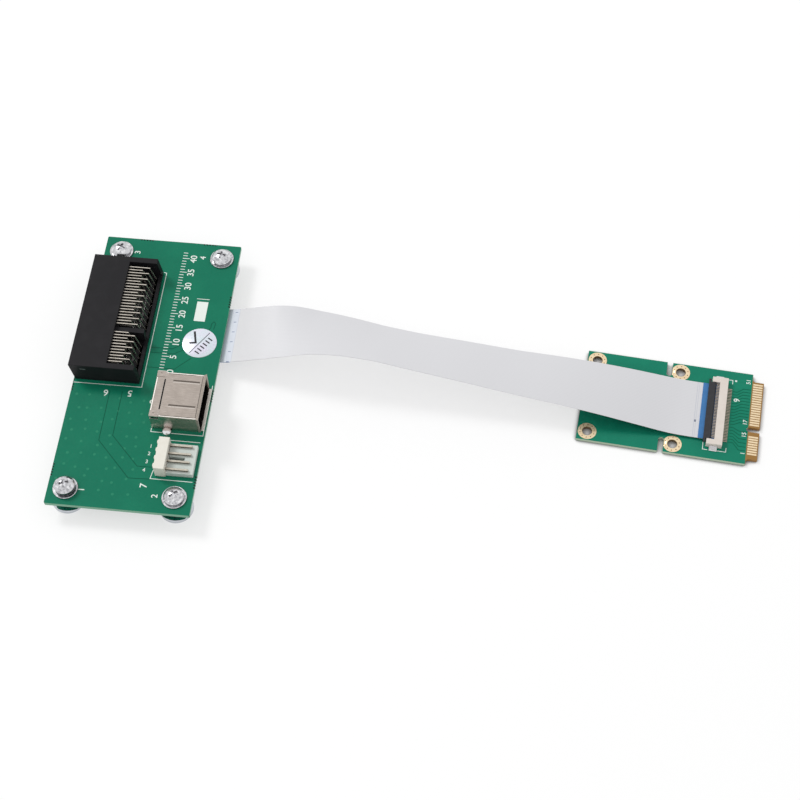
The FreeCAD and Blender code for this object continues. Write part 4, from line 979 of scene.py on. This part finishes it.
ring_via = finish("ring_vias", paint(128, 92, 54), 0.5, metal=0.3)
grain(ring_via, 0.1 * mm, (0.44, 0.6), 0.002 * mm)
dot_circle, dot_count, dot_radius, dot_lift = 2.05, 10, 0.17 * mm, 0.056 * mm
dot = bmesh.new()
bmesh.ops.create_circle(dot, cap_ends=True, segments=12, radius=dot_radius)
dots = [(u + dot_circle * math.cos(a), v + dot_circle * math.sin(a)) for u, v in end_holes + half_holes
        for a in [2 * math.pi * (k + 0.5) / dot_count for k in range(dot_count)]]
dot_spots = [(x, y, card_top + dot_lift) for x, y in on_card(*dots)]
via_dots = set_on_spots(flat_mesh("via_dot", dot), dot_spots, ring_via)
fit("ring_vias", via_dots, ring_via)

card_trace = finish("card_traces", paint(10, 90, 66), 0.38, gloss=0.05)
grain(card_trace, 0.3 * mm, (0.3, 0.46), 0.001 * mm)
bm = bmesh.new()
first_tail, tail_pitch, before_notch = 6.25, 0.5, 12
tails_end, fingers_start, slant = 42.5, 47.3, 1.7
for k in range(0, conductors, 2):
    v = first_tail + k * tail_pitch
    to = 4.2 + k * 0.62 if k < before_notch else 13.2 + (k - before_notch) * 0.52
    bend = 43.2 + 0.03 * abs(k - conductors / 2)
    line = on_card((tails_end, v), (bend, v), (bend + slant, to), (fingers_start, to))
    stroke(bm, line, trace_wide, card_top + mask_skin)
fit("card_traces", flat_mesh("card_traces", bm), card_trace)

bm = bmesh.new()
for line in ([(40.9, 27.0), (42.07, 27.05), (42.07, 25.8)], [(35.5, 5.0), (35.55, 2.75), (36.8, 2.75)],
             [(39.7, 2.85), (42.06, 2.85), (42.06, 4.1)]):
    stroke(bm, on_card(*line), print_line, card_top + print_thick)
first_way_dot, first_way_wide = [(42.98, 26.95), (43.0, 26.95)], 0.55 * mm
stroke(bm, on_card(*first_way_dot), first_way_wide, card_top + print_thick)
print_turn = math.degrees(card_turn) + 90
for text, u, v, height in (("51", 46.6, 27.3, 1.2), ("17", 46.7, 13.5, 1.2), ("15", 46.7, 9.4, 1.2),
                           ("1", 46.8, 3.3, 1.2), ("9", 43.8, 20.5, 1.7)):
    figure(bm, text, on_card((u, v))[0], height * mm, print_turn, card_top + print_thick)
fit("card_print", flat_mesh("card_print", bm), white_print)

# Ribbon connector on the card. The same flip-latch connector stands on the card's upper face, its
# black latch closed over the ribbon and its 36 grey tails soldered towards the tongue.
fit("card_connector_housing", eased("card_ffc_housing", moulded_edge), ivory,
    ["card_ffc_housing"])
fit("card_connector_latch", eased("card_ffc_latch", moulded_edge), latch_black,
    ["card_ffc_latch"], "card_latch")
coat(spring_bronze, "card_ffc_contacts")
coat(bright_solder, "card_ffc_solder_tabs")

# Studio. A pale floor that keeps the soft shadow, an even white surround, one broad lamp over
# the far left and the camera at the angle of the photograph.
scene = bpy.context.scene
scene.view_settings.view_transform = "Standard"


def seen_rays(tree):
    """Share that is 1 for rays from the camera, from mirrors and through glass."""
    light = tree.nodes.new("ShaderNodeLightPath")
    share = light.outputs["Is Camera Ray"]
    for name in ("Is Glossy Ray", "Is Transmission Ray"):
        most = tree.nodes.new("ShaderNodeMath")
        most.operation = "MAXIMUM"
        tree.links.new(share, most.inputs[0])
        tree.links.new(light.outputs[name], most.inputs[1])
        share = most.outputs["Value"]
    return share


world = bpy.data.worlds.new("studio")
scene.world = world
world.use_nodes = True
tree = world.node_tree
lit = tree.nodes["Background"]
lit.inputs["Strength"].default_value = 0.74
shown = tree.nodes.new("ShaderNodeBackground")
shown.inputs["Color"].default_value = (1, 1, 1, 1)
lit.inputs["Color"].default_value = (1, 1, 1, 1)
mix = tree.nodes.new("ShaderNodeMixShader")
tree.links.new(seen_rays(tree), mix.inputs["Fac"])
tree.links.new(lit.outputs["Background"], mix.inputs[1])
tree.links.new(shown.outputs["Background"], mix.inputs[2])
tree.links.new(mix.outputs["Shader"], tree.nodes["World Output"].inputs["Surface"])

floor_mat = finish("pale_floor", (0.97, 0.97, 0.97, 1), 0.9, gloss=0.0)
tree = floor_mat.node_tree
glow = tree.nodes.new("ShaderNodeEmission")
shut_in = tree.nodes.new("ShaderNodeAmbientOcclusion")
shut_in.inputs["Distance"].default_value = 2.5 * mm
# The card lies on the floor. Painted shade: on the card's side alone, occlusion dims the floor's glow, so
# its holes and slots look dark
away_from_card = stepped(floor_mat, coordinate(floor_mat, "Object")[0], 30 * mm, 0)
tree.links.new(worked(floor_mat, "MAXIMUM", away_from_card, stepped(
    floor_mat, shut_in.outputs["AO"], 0.48, 0.85)), glow.inputs["Strength"])
mix = tree.nodes.new("ShaderNodeMixShader")
tree.links.new(worked(floor_mat, "MULTIPLY", seen_rays(tree), 0.6), mix.inputs["Fac"])
tree.links.new(tree.nodes["Principled BSDF"].outputs["BSDF"], mix.inputs[1])
tree.links.new(glow.outputs["Emission"], mix.inputs[2])
tree.links.new(mix.outputs["Shader"], tree.nodes["Material Output"].inputs["Surface"])
floor_mesh = bpy.data.meshes.new("floor")
floor_half, floor_drop = 3, 0.1 * mm
floor_mesh.from_pydata([(x * floor_half, y * floor_half, -floor_drop)
                        for x, y in ((-1, -1), (1, -1), (1, 1), (-1, 1))], [], [(0, 1, 2, 3)])
floor_mesh.materials.append(floor_mat)
floor = bpy.data.objects.new("floor", floor_mesh)
scene.collection.objects.link(floor)

key = bpy.data.lights.new("broad_lamp", "AREA")
key.size = 0.7
key.energy = 27.5
lamp = bpy.data.objects.new("broad_lamp", key)
lamp.location = (-1.45, 0.95, 1.8)
lamp.rotation_mode = "QUATERNION"
lamp.rotation_quaternion = (Vector((0, 0, 0)) - lamp.location).to_track_quat("-Z", "Y")
scene.collection.objects.link(lamp)

# Camera of the photograph: long lens, looking down and a little from the right
azimuth, elevation, roll = (math.radians(a) for a in (7.565, 58.535, -1.583))
aim, distance = Vector((-4.942, 0.663, 0)) * mm, 497.68 * mm
back = Vector((math.sin(azimuth) * math.cos(elevation), -math.cos(azimuth) * math.cos(elevation),
               math.sin(elevation)))
right = Vector((math.cos(azimuth), math.sin(azimuth), 0))
up = back.cross(right)
right, up = (right * math.cos(roll) + up * math.sin(roll),
             up * math.cos(roll) - right * math.sin(roll))
lens = bpy.data.cameras.new("camera")
lens.lens = 77.783
lens.sensor_width = 36.0
lens.clip_start = 0.01
camera = bpy.data.objects.new("camera", lens)
camera.matrix_world = (Matrix.Translation(aim + back * distance)
                       @ Matrix((right, up, back)).transposed().to_4x4())
scene.collection.objects.link(camera)
scene.camera = camera
